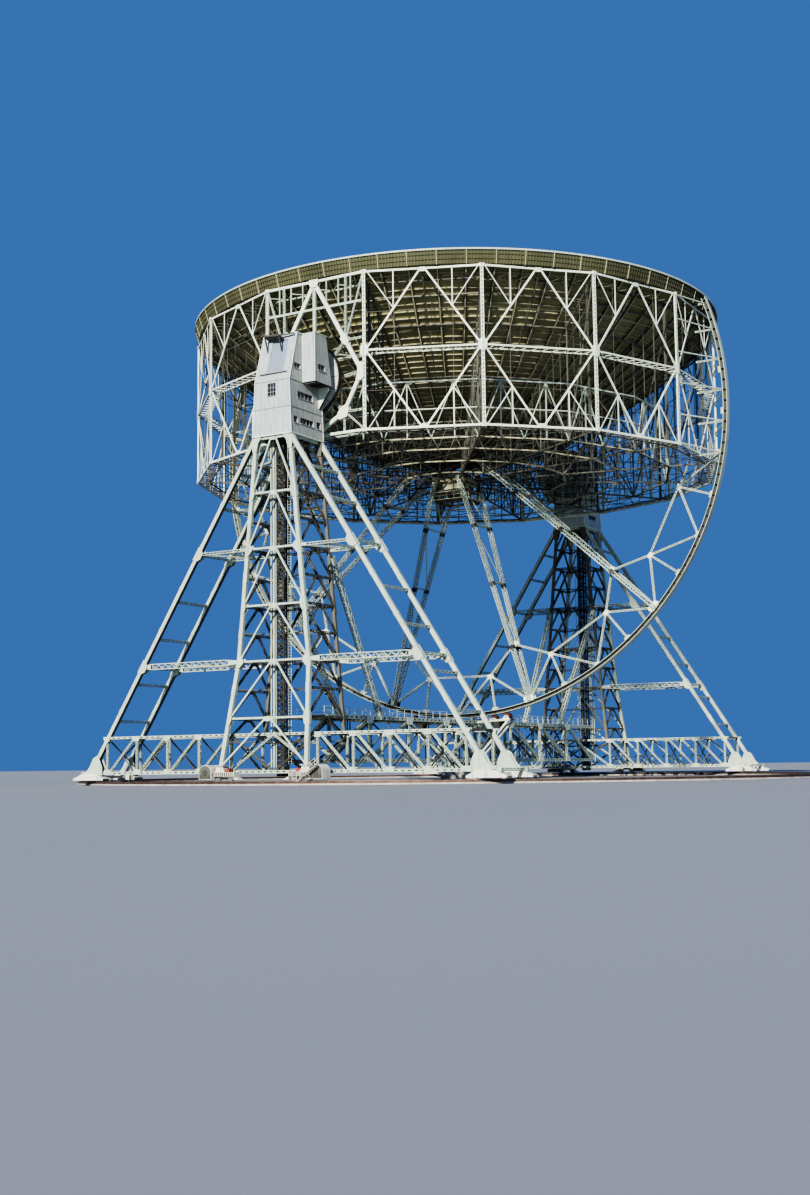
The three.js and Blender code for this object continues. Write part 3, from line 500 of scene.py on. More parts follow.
PALE = paint("pale_paint", (0.53, 0.61, 0.50), (0.40, 0.47, 0.385))
WHITE = paint("white_paint", (0.75, 0.81, 0.66), (0.65, 0.71, 0.57), rust=0.2, streak=0.2)
# Painted shade: a dark copy of the frame paint, given to members that stand in shadow
SHADED = paint("drum_frame_painted_shade", (0.18, 0.18, 0.143), (0.09, 0.09, 0.071), rust=0.4)
# Dark paint for dark parts; it is also painted shade in the post slots, the wheel's web, the bottom framework
# and the bay's underside
DARK = paint("dark_paint_and_painted_shade", (0.10, 0.10, 0.09), (0.045, 0.045, 0.04), rust=0.4, rough=0.65)
BUFF = paint("purlin_paint", (0.56, 0.54, 0.36), (0.42, 0.40, 0.26), rust=0.3, rough=0.7)
HOUSING = paint("housing_paint", (0.74, 0.73, 0.64), (0.66, 0.66, 0.58), rust=0.45, streak=0.5)
RED = paint("red_lead_paint", (0.45, 0.10, 0.05), (0.3, 0.07, 0.04), rust=0.3)
ROLLER = paint("roller_paint", (0.16, 0.06, 0.05), (0.1, 0.045, 0.04), rust=0.6, metal=0.3)
CLAD_Y = ribbed("cladding_front", (0.58, 0.65, 0.61), (0.47, 0.53, 0.51), 1, 0.66)
CLAD_X = ribbed("cladding_side", (0.57, 0.58, 0.51), (0.46, 0.47, 0.42), 0, 0.66)
BLUE = ribbed("panel_blue", (0.36, 0.43, 0.50), (0.31, 0.38, 0.45), 1)
OLIVE = olive("bowl_underside", (0.36, 0.34, 0.18), (0.26, 0.245, 0.125))
BAND = olive("rim_band", (0.165, 0.17, 0.095), (0.11, 0.115, 0.063))
INSIDE = bowl_inside()
GLASS = glass()
RUSTY = steel("rusty_steel", (0.16, 0.085, 0.055), (0.25, 0.19, 0.15), 0.2)
BRIGHT = steel("bright_steel", (0.30, 0.26, 0.23), (0.5, 0.48, 0.45), 0.3)
CONCRETE = concrete()


# Places on the structure


def skin_height(radius):
    return RIM_Z - FOCAL_LENGTH + radius**2 / (4 * FOCAL_LENGTH)


def post_point(k, z, radius=DRUM_R):
    return ray_point(math.pi + (k + 0.5) * BAY_STEP, radius, z)


def ray_point(turn, radius, z):
    return vec(radius * math.cos(turn), radius * math.sin(turn), z)


def bay_frame(k):
    turn = math.pi + k * BAY_STEP
    return ray_point(turn, 1.0, 0), tangent(turn)


def tower_point(side, out, y, z):
    """A point of one tower. The far tower is the near one turned by half a turn."""
    return vec(side * out, -side * y, z)


def wheel_point(degrees, radius, x=0.0):
    turn = math.radians(degrees)
    return vec(x, radius * math.sin(turn), AXIS_Z - radius * math.cos(turn))


def gusset(p, centre, along, across, normal, shape, thick=0.05, look=0, shade=0.15, lifts=(0.0,)):
    """A flat plate, given as pairs in the plane of along and across, at each lift from its centre."""
    for lift in lifts:
        outline = [centre + along * u + across * v + normal * lift for u, v in shape]
        p.slab(outline, normal * thick, look, shade)


def blunt(w, h):
    """A rectangle of half sizes w and h with its corners cut."""
    return chamfered(2 * w, 2 * h, min(w, h) * 0.3)


# Drum sides


def drum_post(p, k):
    outward = post_point(k, 0, 1.0)
    low, high = post_point(k, DRUM_BOTTOM - 0.2), post_point(k, DRUM_TOP + 0.2)
    p.battened(low, high, 0.41, 0.22, outward, pitch=0.52, gap=0.26, edge=0.14)
    # A dark bar inside the post, seen through the slots between the plates: painted shade
    p.bars(low, high, rectangle(0.15, 0.2), outward, 2)
    # The column behind the post takes SHADED, the dark copy of the paint: painted shade
    inner = [post_point(k, z, DRUM_R - RING_DEPTH) for z in (DRUM_BOTTOM, DRUM_TOP - 1.0)]
    p.laced(*inner, 0.22, 0.22, outward, pitch=0.6, edge=0.06, flat=0.04, look=1, faces=2)
    for z, w, h in ((DRUM_BOTTOM, 0.36, 0.24), (DRUM_MID, 0.5, 0.7), (DRUM_TOP, 0.36, 0.24)):
        shape = [(0, -h), (w * 0.6, -h), (w, -h * 0.6), (w, h * 0.6), (w * 0.6, h), (0, h)]
        for sign in (-1, 1):
            level = np.cross(UP, outward) * sign
            way = unit(level * math.cos(BAY_STEP / 2) - outward * math.sin(BAY_STEP / 2))
            face = unit(np.cross(way, UP)) * sign
            gusset(p, post_point(k, z), way, UP, face, shape, 0.04, lifts=(0.18, -0.18))


def drum_bay(p, k):
    """One bay: its chords, two storeys of diagonals, and light members behind them."""
    n, t = bay_frame(k)

    def at(s, z, inset=0.0):
        return n * (DRUM_PLANE - inset) + t * s + UP * z

    s = HALF_BAY - 0.3
    for z, size in ((DRUM_TOP, 0.29), (DRUM_MID, 0.25), (DRUM_BOTTOM, 0.31)):
        p.bars(at(-s, z), at(s, z), chamfered(size, 0.18, 0.03), n, 0, 0.1)
        # A thin plate in SHADED, wider than the chord, shows as dark edges along it: painted shade
        p.bars(at(-s, z), at(s, z), rectangle(size + 0.06, 0.06), n, 1)
    for sign in (-1, 1):
        for z0, z1 in ((DRUM_MID + 0.3, DRUM_TOP), (DRUM_MID - 0.3, DRUM_BOTTOM)):
            foot, crown = at(sign * (HALF_BAY - 0.35), z0), at(sign * 0.25, z1)
            p.bars(foot, crown, chamfered(0.25, 0.14, 0.02), n, 0, 0.1)
            middle = at(sign * HALF_BAY / 2, (z0 + z1) / 2)
            for y, size in ((HALF_BAY - 0.4, 0.14), (HALF_BAY / 2, 0.17)):
                p.bars(middle, at(sign * y, z1), chamfered(size, 0.1, 0.02), n, 0)
    for z, turn in ((DRUM_TOP, -1), (DRUM_BOTTOM, 1)):
        shape = [(-0.42, -0.16 * turn), (0.42, -0.16 * turn), (0.3, 0.4 * turn), (-0.3, 0.4 * turn)]
        gusset(p, at(0, z), t, UP, n, shape, 0.04, lifts=(0.15, -0.15))
    # Level ring trusses behind the chords; the lower and upper ones take SHADED, the dark copy of the paint,
    # as painted shade, the middle one white paint
    inner = HALF_BAY * (DRUM_PLANE - RING_DEPTH) / DRUM_PLANE
    for z, look in zip(RING_LEVELS, (0, 1, 1)):
        p.bars(at(-inner, z, RING_DEPTH), at(inner, z, RING_DEPTH), square(0.15), UP, look)
        outer = [at(u * s, z, 0.2) for u in np.linspace(-1, 1, 11)]
        back = [at(u * inner, z, RING_DEPTH) for u in np.linspace(-0.9, 0.9, 10)]
        zigzag = [q for pair in zip(outer, back) for q in pair] + outer[-1:]
        p.path(zigzag, rectangle(0.07, 0.08), UP, look)
    # Light ties behind the main bracing, in SHADED, the dark copy of the paint: painted shade
    for u in (-0.5, 0.5):
        p.bars(at(u * HALF_BAY, DRUM_BOTTOM, 0.5), at(u * HALF_BAY, DRUM_TOP, 0.5), square(0.07), n, 1)
    for z in (DRUM_MID - 5.0, DRUM_MID + 5.0):
        p.bars(at(-HALF_BAY, z, 0.6), at(HALF_BAY, z, 0.6), square(0.07), n, 1)


def drum_run(number, bays, posts):
    p = Piece(100 + number)
    for k in bays:
        drum_bay(p, k)
    for k in posts:
        drum_post(p, k)
    node = f"drum_sides_{number}"
    p.finish(f"drum_bracing_{number}", "reflector", "lattice", [node], [WHITE, SHADED, DARK])


RUNS = [
    ([1, 2], [0, 1, 2]),
    ([3, 4, 5], [3, 4, 5]),
    ([6, 7], [6, 7]),
    ([9, 10], [8, 9, 10]),
    ([11, 12, 13], [11, 12, 13]),
    ([14, 15], [14, 15]),
]
for number, (bays, posts) in enumerate(RUNS, start=1):
    drum_run(number, bays, posts)


# Framework between the bowl and the bottom of the drum

TRUSS_R = [8.0, 16.0, 24.0, 31.0]


def truss_top(radius):
    return skin_height(radius) - 0.85


def main_truss(p, turn):
    """A full-depth radial truss from the hub to a post, with light struts inside its panels."""
    across, at = tangent(turn), partial(ray_point, turn)
    head = at(37.4, DRUM_TOP - 0.6)
    stops = (2.75, *TRUSS_R)
    high = [at(r, truss_top(r)) for r in stops] + [head]
    low = [at(r, DRUM_BOTTOM) for r in (*stops, 37.2)]
    for line in (low, high):
        p.path(line, rectangle(0.22, 0.2), across)
    p.bars(low[1:5], high[1:5], chamfered(0.18, 0.18, 0.02), across)
    for a, b in ((high[1], low[2]), (low[2], high[3]), (high[3], low[4]), (low[4], head)):
        p.bars(a, b, chamfered(0.18, 0.16, 0.02), across)
        for share in (0.25, 0.5, 0.75):
            radius = float(np.hypot(*mix(a, b, share)[:2]))
            top = min(truss_top(radius), DRUM_TOP - 0.6)
            p.bars(at(radius, DRUM_BOTTOM), at(radius, top), square(0.08), across)
    p.bars(high[0], low[1], rectangle(0.16, 0.14), across)


def light_truss(p, turn, first=13.0):
    """A shallow radial truss under the skin, half way between two main ones."""
    across = tangent(turn)
    r = np.linspace(first, 36.8, 15)
    high = np.array([ray_point(turn, x, skin_height(x) - 0.6) for x in r])
    low = high - UP * np.linspace(0.6, 1.4, len(r))[:, None]
    p.path(low, square(0.1), across, 0)
    zigzag = np.where((np.arange(len(r)) % 2 == 0)[:, None], high, low)
    p.path(zigzag, square(0.07), across, 0)


def ring_truss(p, radius, upper):
    """A ring of flat trusses between the radial ones at one radius."""
    outermost = radius > 30
    size = 0.18 if outermost else 0.12
    for k in range(BAYS):
        ends = [post_point(k + i, 0, radius) for i in (0, 1)]
        normal = unit(ends[0] + ends[1])
        base = [mix(*ends, i / 4) for i in range(5)]
        low, high = [b + UP * DRUM_BOTTOM for b in base], [b + UP * upper for b in base]
        p.bars([low[0], high[0]], [low[4], high[4]], square(size), normal, int(outermost))
        p.path([low[0], high[1], low[2], high[3], low[4]], square(size * 0.8), normal, int(outermost))
        if outermost:
            p.bars([low[1], low[3]], [high[1], high[3]], square(0.15), normal, 1)
            half = UP * (47.0 - DRUM_BOTTOM)
            p.bars(low[0] + half, low[4] + half, rectangle(0.13, 0.12), normal, 1)


def top_rings(p):
    """Rings of bars just under the rafters."""
    for radius in (*TRUSS_R, 34.3):
        z = truss_top(radius) - 0.1
        corners = [post_point(k, z, radius) for k in range(BAYS + 1)]
        p.path(corners, square(0.2), UP, 0)


def bottom_level(p):
    """Rings, radials and crosses at the bottom of the drum."""
    radii = [8.0, 16.0, 24.0, 31.0, 36.9]
    for radius in radii[:-1]:
        p.path([post_point(k, DRUM_BOTTOM, radius) for k in range(BAYS + 1)], rectangle(0.2, 0.18), UP, 1)
    # Radials and crosses are in dark paint: painted shade under the bowl
    for r0, r1 in zip(radii[:-1], radii[1:]):
        for k in range(BAYS):
            ends = [[post_point(k + i, DRUM_BOTTOM, r) for i in (0, 1)] for r in (r0, r1)]
            p.bars(ends[0], ends[1][::-1], square(0.07), UP, 0)
            middle = [(e[0] + e[1]) / 2 for e in ends]
            p.bars(middle[:1], middle[1:], square(0.08), UP, 0)


# The radial and ring trusses take SHADED, the dark copy of the paint: painted shade under the bowl; the
# outermost ring keeps the pale paint
framework = Piece(300)
for k in range(BAYS):
    main_truss(framework, math.pi + (k + 0.5) * BAY_STEP)
    light_truss(framework, math.pi + k * BAY_STEP)
framework.finish("radial_trusses", "reflector", "dark_lattice", [], [SHADED])

rings = Piece(301)
for radius, upper in ((31.0, 50.6), (24.0, 48.6), (16.0, 46.6)):
    ring_truss(rings, radius, upper)
top_rings(rings)
rings.finish("ring_trusses", "reflector", "dark_lattice", [], [SHADED, PALE])

level = Piece(302)
bottom_level(level)
level.finish("bottom_framework", "reflector", "dark_lattice", ["bottom_grid"], [DARK, BUFF])


# Bowl


def skin_profile(drop, count, outer=BOWL_R):
    r = np.linspace(0.0, outer, count)
    return np.stack([r, skin_height(r) - drop], axis=1)


def bowl():
    p = Piece(310)
    spin = full_turn(SKIN_SIDES)
    fan = np.arange(SKIN_SIDES)
    ahead = (fan + 1) % SKIN_SIDES
    for profile, look in ((skin_profile(0.0, 40), 1), (skin_profile(0.05, 36, 37.55), 0)):
        ordered = profile[1:][::-1] if look else profile[1:]
        p.revolve(ordered, SKIN_SIDES, look, closed=False)
        r, z = profile[1]
        rim = np.stack([r * np.cos(spin), r * np.sin(spin), np.full(SKIN_SIDES, z)], axis=1)
        rows = (fan, ahead) if look else (ahead, fan)
        middle = np.full(SKIN_SIDES, SKIN_SIDES)
        points = np.vstack([rim, [[0, 0, profile[0, 1]]]])
        p.add(points, [(np.stack([*rows, middle], axis=1), 0.5)], look, None, True)
    # Edge band: a thin lip, the sheet behind the ribs, and the ribs with their rails
    p.revolve([[37.85, 65.1], [38.1, 65.08], [38.1, 65.3], [37.9, 65.29]], SKIN_SIDES, 2, shade=0.1)
    p.revolve([[37.1, 63.5], [37.4, 63.5], [37.92, 65.17], [37.6, 65.17]], SKIN_SIDES, 4)
    rib = ((37.1, 63.43), (37.56, 63.43), (38.06, 65.16), (37.6, 65.16))
    for turn in full_turn(RAYS) + BAY_STEP / 8:
        p.slab([ray_point(turn, r, z) for r, z in rib], tangent(turn) * 0.09, 3, 0.3)
    for share in (0.34, 0.68):
        r, z = mix(37.56, 38.04, share), mix(63.48, 65.1, share)
        rail_outline = [[r - 0.1, z], [r - 0.01, z], [r + 0.005, z + 0.05], [r - 0.085, z + 0.05]]
        p.revolve(rail_outline, 128, 4, shade=0.2)
    fine = full_turn(9 * RAYS)
    around = np.stack([np.cos(fine), np.sin(fine), 0 * fine], axis=1)
    p.bars(around * 37.48 + UP * 63.5, around * 37.97 + UP * 65.15, rectangle(0.14, 0.06), around, 4)
    return p.finish("bowl_sheet", "reflector", "bowl", ["bowl_skin"], [OLIVE, INSIDE, PALE, BUFF, BAND], 40)


def purlins():
    p = Piece(311)
    profile = ((-0.04, -0.2), (0.04, -0.2), (0.04, 0.0), (-0.04, 0.0))
    for radius in np.arange(3.0, 37.4, 0.8):
        z = skin_height(radius) - 0.05
        tilt = math.atan(radius / (2 * FOCAL_LENGTH))
        c, s = math.cos(tilt), math.sin(tilt)
        outline = [[radius + u * c - v * s, z + u * s + v * c] for u, v in profile]
        p.revolve(outline, 96, smooth=False, shade=float(p.random.random()))
    for k, turn in enumerate(full_turn(RAYS) + BAY_STEP / 8):
        start = 3.0 if k % 4 == 1 else (8.0 if k % 2 else 18.0)
        line = np.array([ray_point(turn, r, skin_height(r) - 0.36) for r in np.linspace(start, 37.2, 14)])
        # The deep radial ribs take SHADED, the dark copy of the paint: painted shade under the skin
        p.path(line, rectangle(0.08, 0.34), tangent(turn), 1)
        p.path(line - UP * 0.17, rectangle(0.16, 0.04), UP)
    return p.finish("bowl_purlins", "reflector", "bowl", [], [BUFF, SHADED])


bowl()
purlins()


# Stabilising wheel: local height becomes X, and angles count from the lowest point

WHEEL_PLACE = lying()


def wheel():
    p = Piece(320)
    # The web between the two flanges and its ribs are in dark paint: painted shade in the recess between the
    # flanges
    for r0, r1, half, look in ((40.65, 40.73, 0.5, 0), (41.17, 41.25, 0.5, 0), (40.73, 41.17, 0.04, 2)):
        outline = band(r0, r1, -half, half)
        p.revolve(outline, 120, look, -WHEEL_END, 2 * WHEEL_END, 0.3, True, WHEEL_PLACE)
    rib = ((40.72, -0.42), (41.18, -0.42), (41.18, 0.42), (40.72, 0.42))
    for degrees in np.arange(-110, 111, 2.0):
        outline = [wheel_point(degrees, r, x) for r, x in rib]
        p.slab(outline, (wheel_point(degrees + 90, 1.0) - UP * AXIS_Z) * 0.05, 2, 0.6)

    def line(a0, r0, a1, r1, size=0.27):
        p.laced(wheel_point(a0, r0), wheel_point(a1, r1), size, size, EX, edge=0.08, plate=0.4)

    def plate(degrees, radius, lift, shape, look):
        radial = wheel_point(degrees, 1.0) - UP * AXIS_Z
        centre, around = wheel_point(degrees, radius), np.cross(EX, radial)
        gusset(p, centre, around, radial, EX, shape, 0.05, look, lifts=(-lift, lift))

    for sign in (-1, 1):
        nodes = [sign * (i + 0.5) * WEB_STEP for i in range(5)]
        half = sign * WEB_STEP / 2
        for node in nodes:
            line(node, WEB_R + 0.3, node, 40.6, 0.26)
            for way in (-half, half):
                line(node + way * 0.06, WEB_R + 0.25, node + way, 40.6)
            plate(node, WEB_R + 0.1, 0.18, blunt(0.42, 0.31), 1)
        for boom in (sign * WEB_STEP, sign * 3 * WEB_STEP):
            line(boom - half, WEB_R, boom, KNUCKLE_R)
            line(boom, KNUCKLE_R, boom + half, WEB_R)
            look = 2 if boom == WEB_STEP else 1
            plate(boom, 40.35, 0.36, blunt(0.8, 0.44), look)
            plate(boom, KNUCKLE_R, 0.4, blunt(0.5, 0.4), look)
        line(nodes[1], WEB_R, nodes[2], WEB_R)
        line(nodes[3], WEB_R, nodes[4], WEB_R)
        line(nodes[4], WEB_R + 0.2, nodes[4] + half * 1.3, WEB_R + 1.4, 0.26)
        for k in range(1, 13):
            plate(sign * k * 8, 40.45, 0.16, blunt(0.45, 0.2), 0)
    line(-8, WEB_R, 8, WEB_R)
    # Ties between the ring and the drum, where the ring climbs past it
    for sign in (-1, 1):
        for degrees, z in ((80, 43.4), (86, 47.2), (92, 51.4), (98, 55.6), (104, 60.0), (109.5, 63.2)):
            for x in (-7.0, 7.0):
                ring = wheel_point(sign * degrees, 40.7, math.copysign(0.3, x))
                p.bars(ring, vec(x, sign * 36.95, z), square(0.16), EX)
            ring = wheel_point(sign * degrees, 40.7)
            p.laced(ring, vec(0, sign * 37.0, ring[2]), 0.24, 0.24, EX, plate=0.2)
    return p.finish("wheel_ring", "reflector", "lattice", ["stabilising_wheel"], [PALE, WHITE, DARK])


def boom_pair(number, degrees):
    p = Piece(330 + number)
    ends = [[wheel_point(degrees, 6.7, s * 3.12), wheel_point(degrees, 40.6, s * 0.32)] for s in (-1, 1)]
    around = np.cross(EX, wheel_point(degrees, 1.0) - UP * AXIS_Z)
    for top, foot in ends:
        p.laced(top, foot, 0.57, 0.53, around, pitch=0.46, edge=0.09, plate=0.7)
        along = unit(foot - top)
        for share, look, size in ((0.004, 2, 0.66), (0.22, 1, 0.55), (0.48, 1, 0.55), (0.76, 1, 0.55)):
            start = mix(top, foot, share)
            p.bars(start, start + along * size, chamfered(0.61, 0.59, 0.05), around, look)
    for share in (0.03, 0.22, 0.48, 0.76):
        a, b = (mix(*line, share) for line in ends)
        p.laced(a, b, 0.26, 0.26, around, pitch=0.45, flat=0.04, plate=0.3)
    for s0, s1 in ((0.03, 0.22), (0.22, 0.48), (0.48, 0.76)):
        p.bars(mix(*ends[0], s0), mix(*ends[1], s1), rectangle(0.12, 0.1), around)
    node = f"wheel_booms_{number}"
    return p.finish(f"boom_pair_{number}", "reflector", "lattice", [node], [PALE, DARK, WHITE])


wheel()
for number, turn in enumerate((-3, -1, 1, 3), start=1):
    boom_pair(number, turn * WEB_STEP)


# Trunnion frames

TRUNNION_OUTLINE = [(0, 63.0), (4.6, 54.9), (7.0, 50.6), (4.4, 45.8), (0, 43.4)]
RACK_R = 4.75


def trunnion(word, side):
    p = Piece(340 + side)
    nx, across = EX * side, tower_point(side, 0, 1, 0)

    def at(y, z, lift=0.0):
        return tower_point(side, DRUM_PLANE + lift, y, z)

    s = HALF_BAY - 0.3
    for z in (DRUM_TOP, DRUM_BOTTOM):
        p.bars(at(-s, z), at(s, z), chamfered(0.36, 0.28, 0.03), nx, 1, 0.1)
    p.bars(at(-s, 59.6), at(s, 59.6), chamfered(0.3, 0.3, 0.02), nx, 0, 0.2)
    for y in (-5.4, -3.6, -1.8, 1.8, 3.6, 5.4):
        p.bars(at(y, 59.6), at(y, DRUM_TOP), square(0.16), nx)
    members = (
        (4.6, 54.9, 4.7, DRUM_TOP, 0.28), (4.6, 54.9, s, 54.9, 0.28), (4.4, 45.8, s, 45.8, 0.28),
        (4.5, 45.8, s, 43.5, 0.22), (4.4, 45.6, 4.4, 43.4, 0.22), (4.7, 55.1, 7.2, 62.9, 0.22),
        (0.9, AXIS_Z + 0.9, 4.5, 54.8, 0.34), (0.9, AXIS_Z - 0.8, 4.3, 45.9, 0.34),
        (1.3, AXIS_Z, 6.9, 50.6, 0.34),
    )
    plates = (
        (4.6, 54.9,
         [(-0.4, 0.85), (-0.66, 0.2), (-0.2, -0.5), (0.4, -0.85), (0.62, -0.3), (0.4, 0.4), (0.1, 0.85)]),
        (7.0, 50.6,
         [(-0.5, 1.1), (-0.55, -0.2), (-0.8, -1.0), (-0.1, -1.2), (0.4, -0.8), (0.4, 0.8), (0.1, 1.2)]),
        (4.4, 45.8,
         [(-1.15, -0.7), (-0.5, -0.95), (0.5, -0.7), (0.8, 0.2), (0.55, 1.0), (-0.1, 0.7), (-0.6, 0.4)]),
    )
    lifts = (-0.27, 0.27)
    for sign in (-1, 1):
        line = [at(sign * y, z) for y, z in TRUNNION_OUTLINE]
        p.path(line, chamfered(0.52, 0.4, 0.04), nx, 1, 0.05)
        for y0, z0, y1, z1, size in members:
            p.laced(at(sign * y0, z0), at(sign * y1, z1), size, size, nx, plate=0.4)
        for y, z, shape in plates:
            gusset(p, at(sign * y, z), across * sign, UP, nx, shape, 0.05, 1, 0.1, lifts)
    for z0, z1 in ((DRUM_TOP, AXIS_Z + 1.0), (AXIS_Z - 1.0, DRUM_BOTTOM)):
        p.bars(at(0, z0), at(0, z1), chamfered(0.4, 0.4, 0.03), nx, 0, 0.2)
    apex = ((-0.65, 0.25), (0.65, 0.25), (0.7, -0.3), (0.45, -0.8), (-0.45, -0.8), (-0.7, -0.3))
    gusset(p, at(0, DRUM_TOP), across, UP, nx, apex, 0.05, 1, 0.1, lifts)
    # Rack wheel: a ring of joined plates with teeth, spokes, hub and shaft
    place = lying(side)
    for i in range(16):
        tone = float(p.random.random())
        p.revolve(band(3.35, 4.6, 38.06, 38.62), 4, 3, i * 22.5 + 0.5, 21.5, tone, False, place)
    p.revolve(band(3.4, 4.58, 38.08, 38.58), 96, 2, place=place, shade=0.4)
    p.revolve(band(3.3, 3.38, 38.0, 38.66), 64, 2, place=place, shade=0.4)
    p.revolve(band(4.56, 4.62, 38.05, 38.64), 96, 2, place=place, shade=0.4)
    teeth = full_turn(144)
    radial = np.stack([0 * teeth, np.sin(teeth), -np.cos(teeth)], axis=1)
    centre = vec(side * 38.1, 0, AXIS_Z) + radial * RACK_R * 0.983
    p.bars(centre, centre + nx * 0.5, rectangle(0.1, 0.16), radial, 2)
    middle = vec(side * 38.35, 0, AXIS_Z)
    for turn in full_turn(8) + math.pi / 8:
        way = vec(0, math.sin(turn), -math.cos(turn))
        a, b = middle + way * 0.9, middle + way * 3.4
        p.laced(a, b, 0.6, 0.46, nx, pitch=0.55, edge=0.1, flat=0.08, plate=0.3)
    boss = [[0.0, 36.5], [1.3, 36.5], [1.3, 37.3], [1.1, 37.5], [1.1, 38.9], [0.8, 39.1], [0.0, 39.1]]
    p.revolve(boss, 40, 1, place=place, shade=0.3)
    p.revolve(band(0.0, 0.58, 39.0, 41.2), 40, 5, place=place, shade=0.3)
    for x, radius in ((36.75, 1.15), (38.95, 0.92)):
        for degrees in range(0, 360, 30):
            spot = wheel_point(degrees, radius, side * x)
            p.bars(spot - nx * 0.12, spot + nx * 0.12, circle(0.07, 6), UP, 4)
    # Short ring trusses between this frame and the drum framework behind it
    for z in (DRUM_BOTTOM, DRUM_MID, DRUM_TOP - 1.0):
        for y0, y1 in ((-7.0, -3.5), (-3.5, 0.0), (0.0, 3.5), (3.5, 7.0)):
            if z == DRUM_MID and abs(y0 + y1) < 6:
                continue
            back = at((y0 + y1) / 2, z, -RING_DEPTH)
            p.bars([at(y0, z), at(y1, z)], back, square(0.12), UP)
        p.bars(at(-6.9, z, -RING_DEPTH), at(6.9, z, -RING_DEPTH), square(0.2), UP)
    return p.finish(f"{word}_trunnion", "reflector", "lattice", [f"{word}_trunnion_frame"],
                    [PALE, WHITE, DARK, HOUSING, RUSTY, BRIGHT])


for word, side in (("near", -1), ("far", 1)):
    trunnion(word, side)


# Hub under the bowl, laboratory and aerial mast


def hub():
    p = Piece(350)
    # The cage takes SHADED, the dark copy of the paint: painted shade under the bowl; the ring at the drum's
    # bottom, the walkway and its rails are in purlin paint
    corners = [vec(x, y, 0) * 2.3 for x, y in ((-1, -1), (1, -1), (1, 1), (-1, 1))]
    for near, next_one in zip(corners, corners[1:] + corners[:1]):
        low, high = near + UP * HUB_LEVELS[0], near + UP * HUB_LEVELS[-1]
        p.laced(low, high, 0.36, 0.36, EX, edge=0.09, flat=0.06, plate=0.4)
        for z in HUB_LEVELS:
            a, b = near + UP * z, next_one + UP * z
            if z == DRUM_BOTTOM:
                p.bars(a, b, chamfered(0.34, 0.34, 0.03), UP, 1)
            else:
                p.laced(a, b, 0.32, 0.32, UP, pitch=0.45, edge=0.09, flat=0.06, plate=0.3)
        outward = unit(near + next_one)
        shift = outward * 0.1
        p.bars(near + UP * 43.4 + shift, next_one + UP * 45.1 + shift, rectangle(0.12, 0.1), outward)
        p.laced(high, UP * (skin_height(0) - 0.3), 0.3, 0.3, UP, edge=0.08, plate=0.2)
        # Walkway round the bottom of the frame
        a, b = (q + UP * 40.35 + outward * 0.5 for q in (near, next_one))
        p.bars(a, b, rectangle(0.7, 0.06), UP, 1)
        for height in (0.55, 1.05):
            lift = UP * height + outward * 0.3
            p.bars(a + lift, b + lift, square(0.05), UP, 1)
        for share in stations(4):
            foot = mix(a, b, share) + outward * 0.3
            p.bars(foot, foot + UP * 1.05, square(0.05), EX, 1)
    for x in (-2.2, 2.2):
        p.revolve(band(0.14, 0.34, -0.12, 0.12), 20, 1, place=lying(1, x, 0, DRUM_BOTTOM), shade=0.2)
    return p.finish("hub_lattice", "reflector", "lattice", ["hub_frame"], [SHADED, BUFF])


def wall(p, corners, windows, outward, look, glass_look=4, depth=0.22, battens=0.0, batten_look=1):
    """A wall from its four corners (low left, low right, high right, high left) with recessed windows.

    Windows are given as shares of the wall's width and height: (u0, u1, v0, v1, panes across, panes up).
    """
    c = [np.asarray(x, float) for x in corners]
    outward = unit(np.asarray(outward, float))

    def at(u, v, lift=0.0):
        return mix(mix(c[0], c[1], u), mix(c[3], c[2], u), v) + outward * lift

    us = sorted({0.0, 1.0, *[w[0] for w in windows], *[w[1] for w in windows]})
    vs = sorted({0.0, 1.0, *[w[2] for w in windows], *[w[3] for w in windows]})
    for u0, u1 in zip(us[:-1], us[1:]):
        for v0, v1 in zip(vs[:-1], vs[1:]):
            middle = ((u0 + u1) / 2, (v0 + v1) / 2)
            if any(w[0] < middle[0] < w[1] and w[2] < middle[1] < w[3] for w in windows):
                continue
            quad = [at(u0, v0), at(u1, v0), at(u1, v1), at(u0, v1)]
            if np.dot(np.cross(quad[1] - quad[0], quad[3] - quad[0]), outward) < 0:
                quad = quad[::-1]
            p.add(quad, [([[0, 1, 2, 3]], 0.4)], look)
    wide = np.linalg.norm(c[1] - c[0])
    across = unit(c[1] - c[0])
    for u0, u1, v0, v1, panes, rows in windows:
        ring = [at(u0, v0), at(u1, v0), at(u1, v1), at(u0, v1)]
        deep = [q - outward * depth for q in ring]
        for i in range(4):
            j = (i + 1) % 4
            p.add([ring[i], ring[j], deep[j], deep[i]], [([[0, 1, 2, 3]], 0.1)], batten_look)
        p.add(deep, [([[0, 1, 2, 3]], 0.5)], glass_look)
        for i in range(panes + 1):
            a, b = mix(deep[0], deep[1], i / panes), mix(deep[3], deep[2], i / panes)
            p.bars(a + outward * 0.04, b + outward * 0.04, square(0.05), outward, batten_look, 0.9)
        for i in range(rows + 1):
            a, b = mix(deep[0], deep[3], i / rows), mix(deep[1], deep[2], i / rows)
            p.bars(a + outward * 0.04, b + outward * 0.04, square(0.05), outward, batten_look, 0.9)
        sill = [at(u0, v0, 0.04) - across * 0.08, at(u1, v0, 0.04) + across * 0.08]
        p.bars(sill[0], sill[1], rectangle(0.06, 0.12), outward, batten_look, 0.3)
    if battens:
        count = max(2, int(round(wide / battens)))
        for i in range(count + 1):
            u = i / count
            crossed = [w for w in windows if w[0] - 0.01 < u < w[1] + 0.01]
            cuts = sorted([0.0, 1.0] + [edge for w in crossed for edge in w[2:4]])
            for v0, v1 in zip(cuts[::2], cuts[1::2]):
                p.bars(at(u, v0, 0.02), at(u, v1, 0.02), rectangle(0.07, 0.05), outward, batten_look, 0.25)


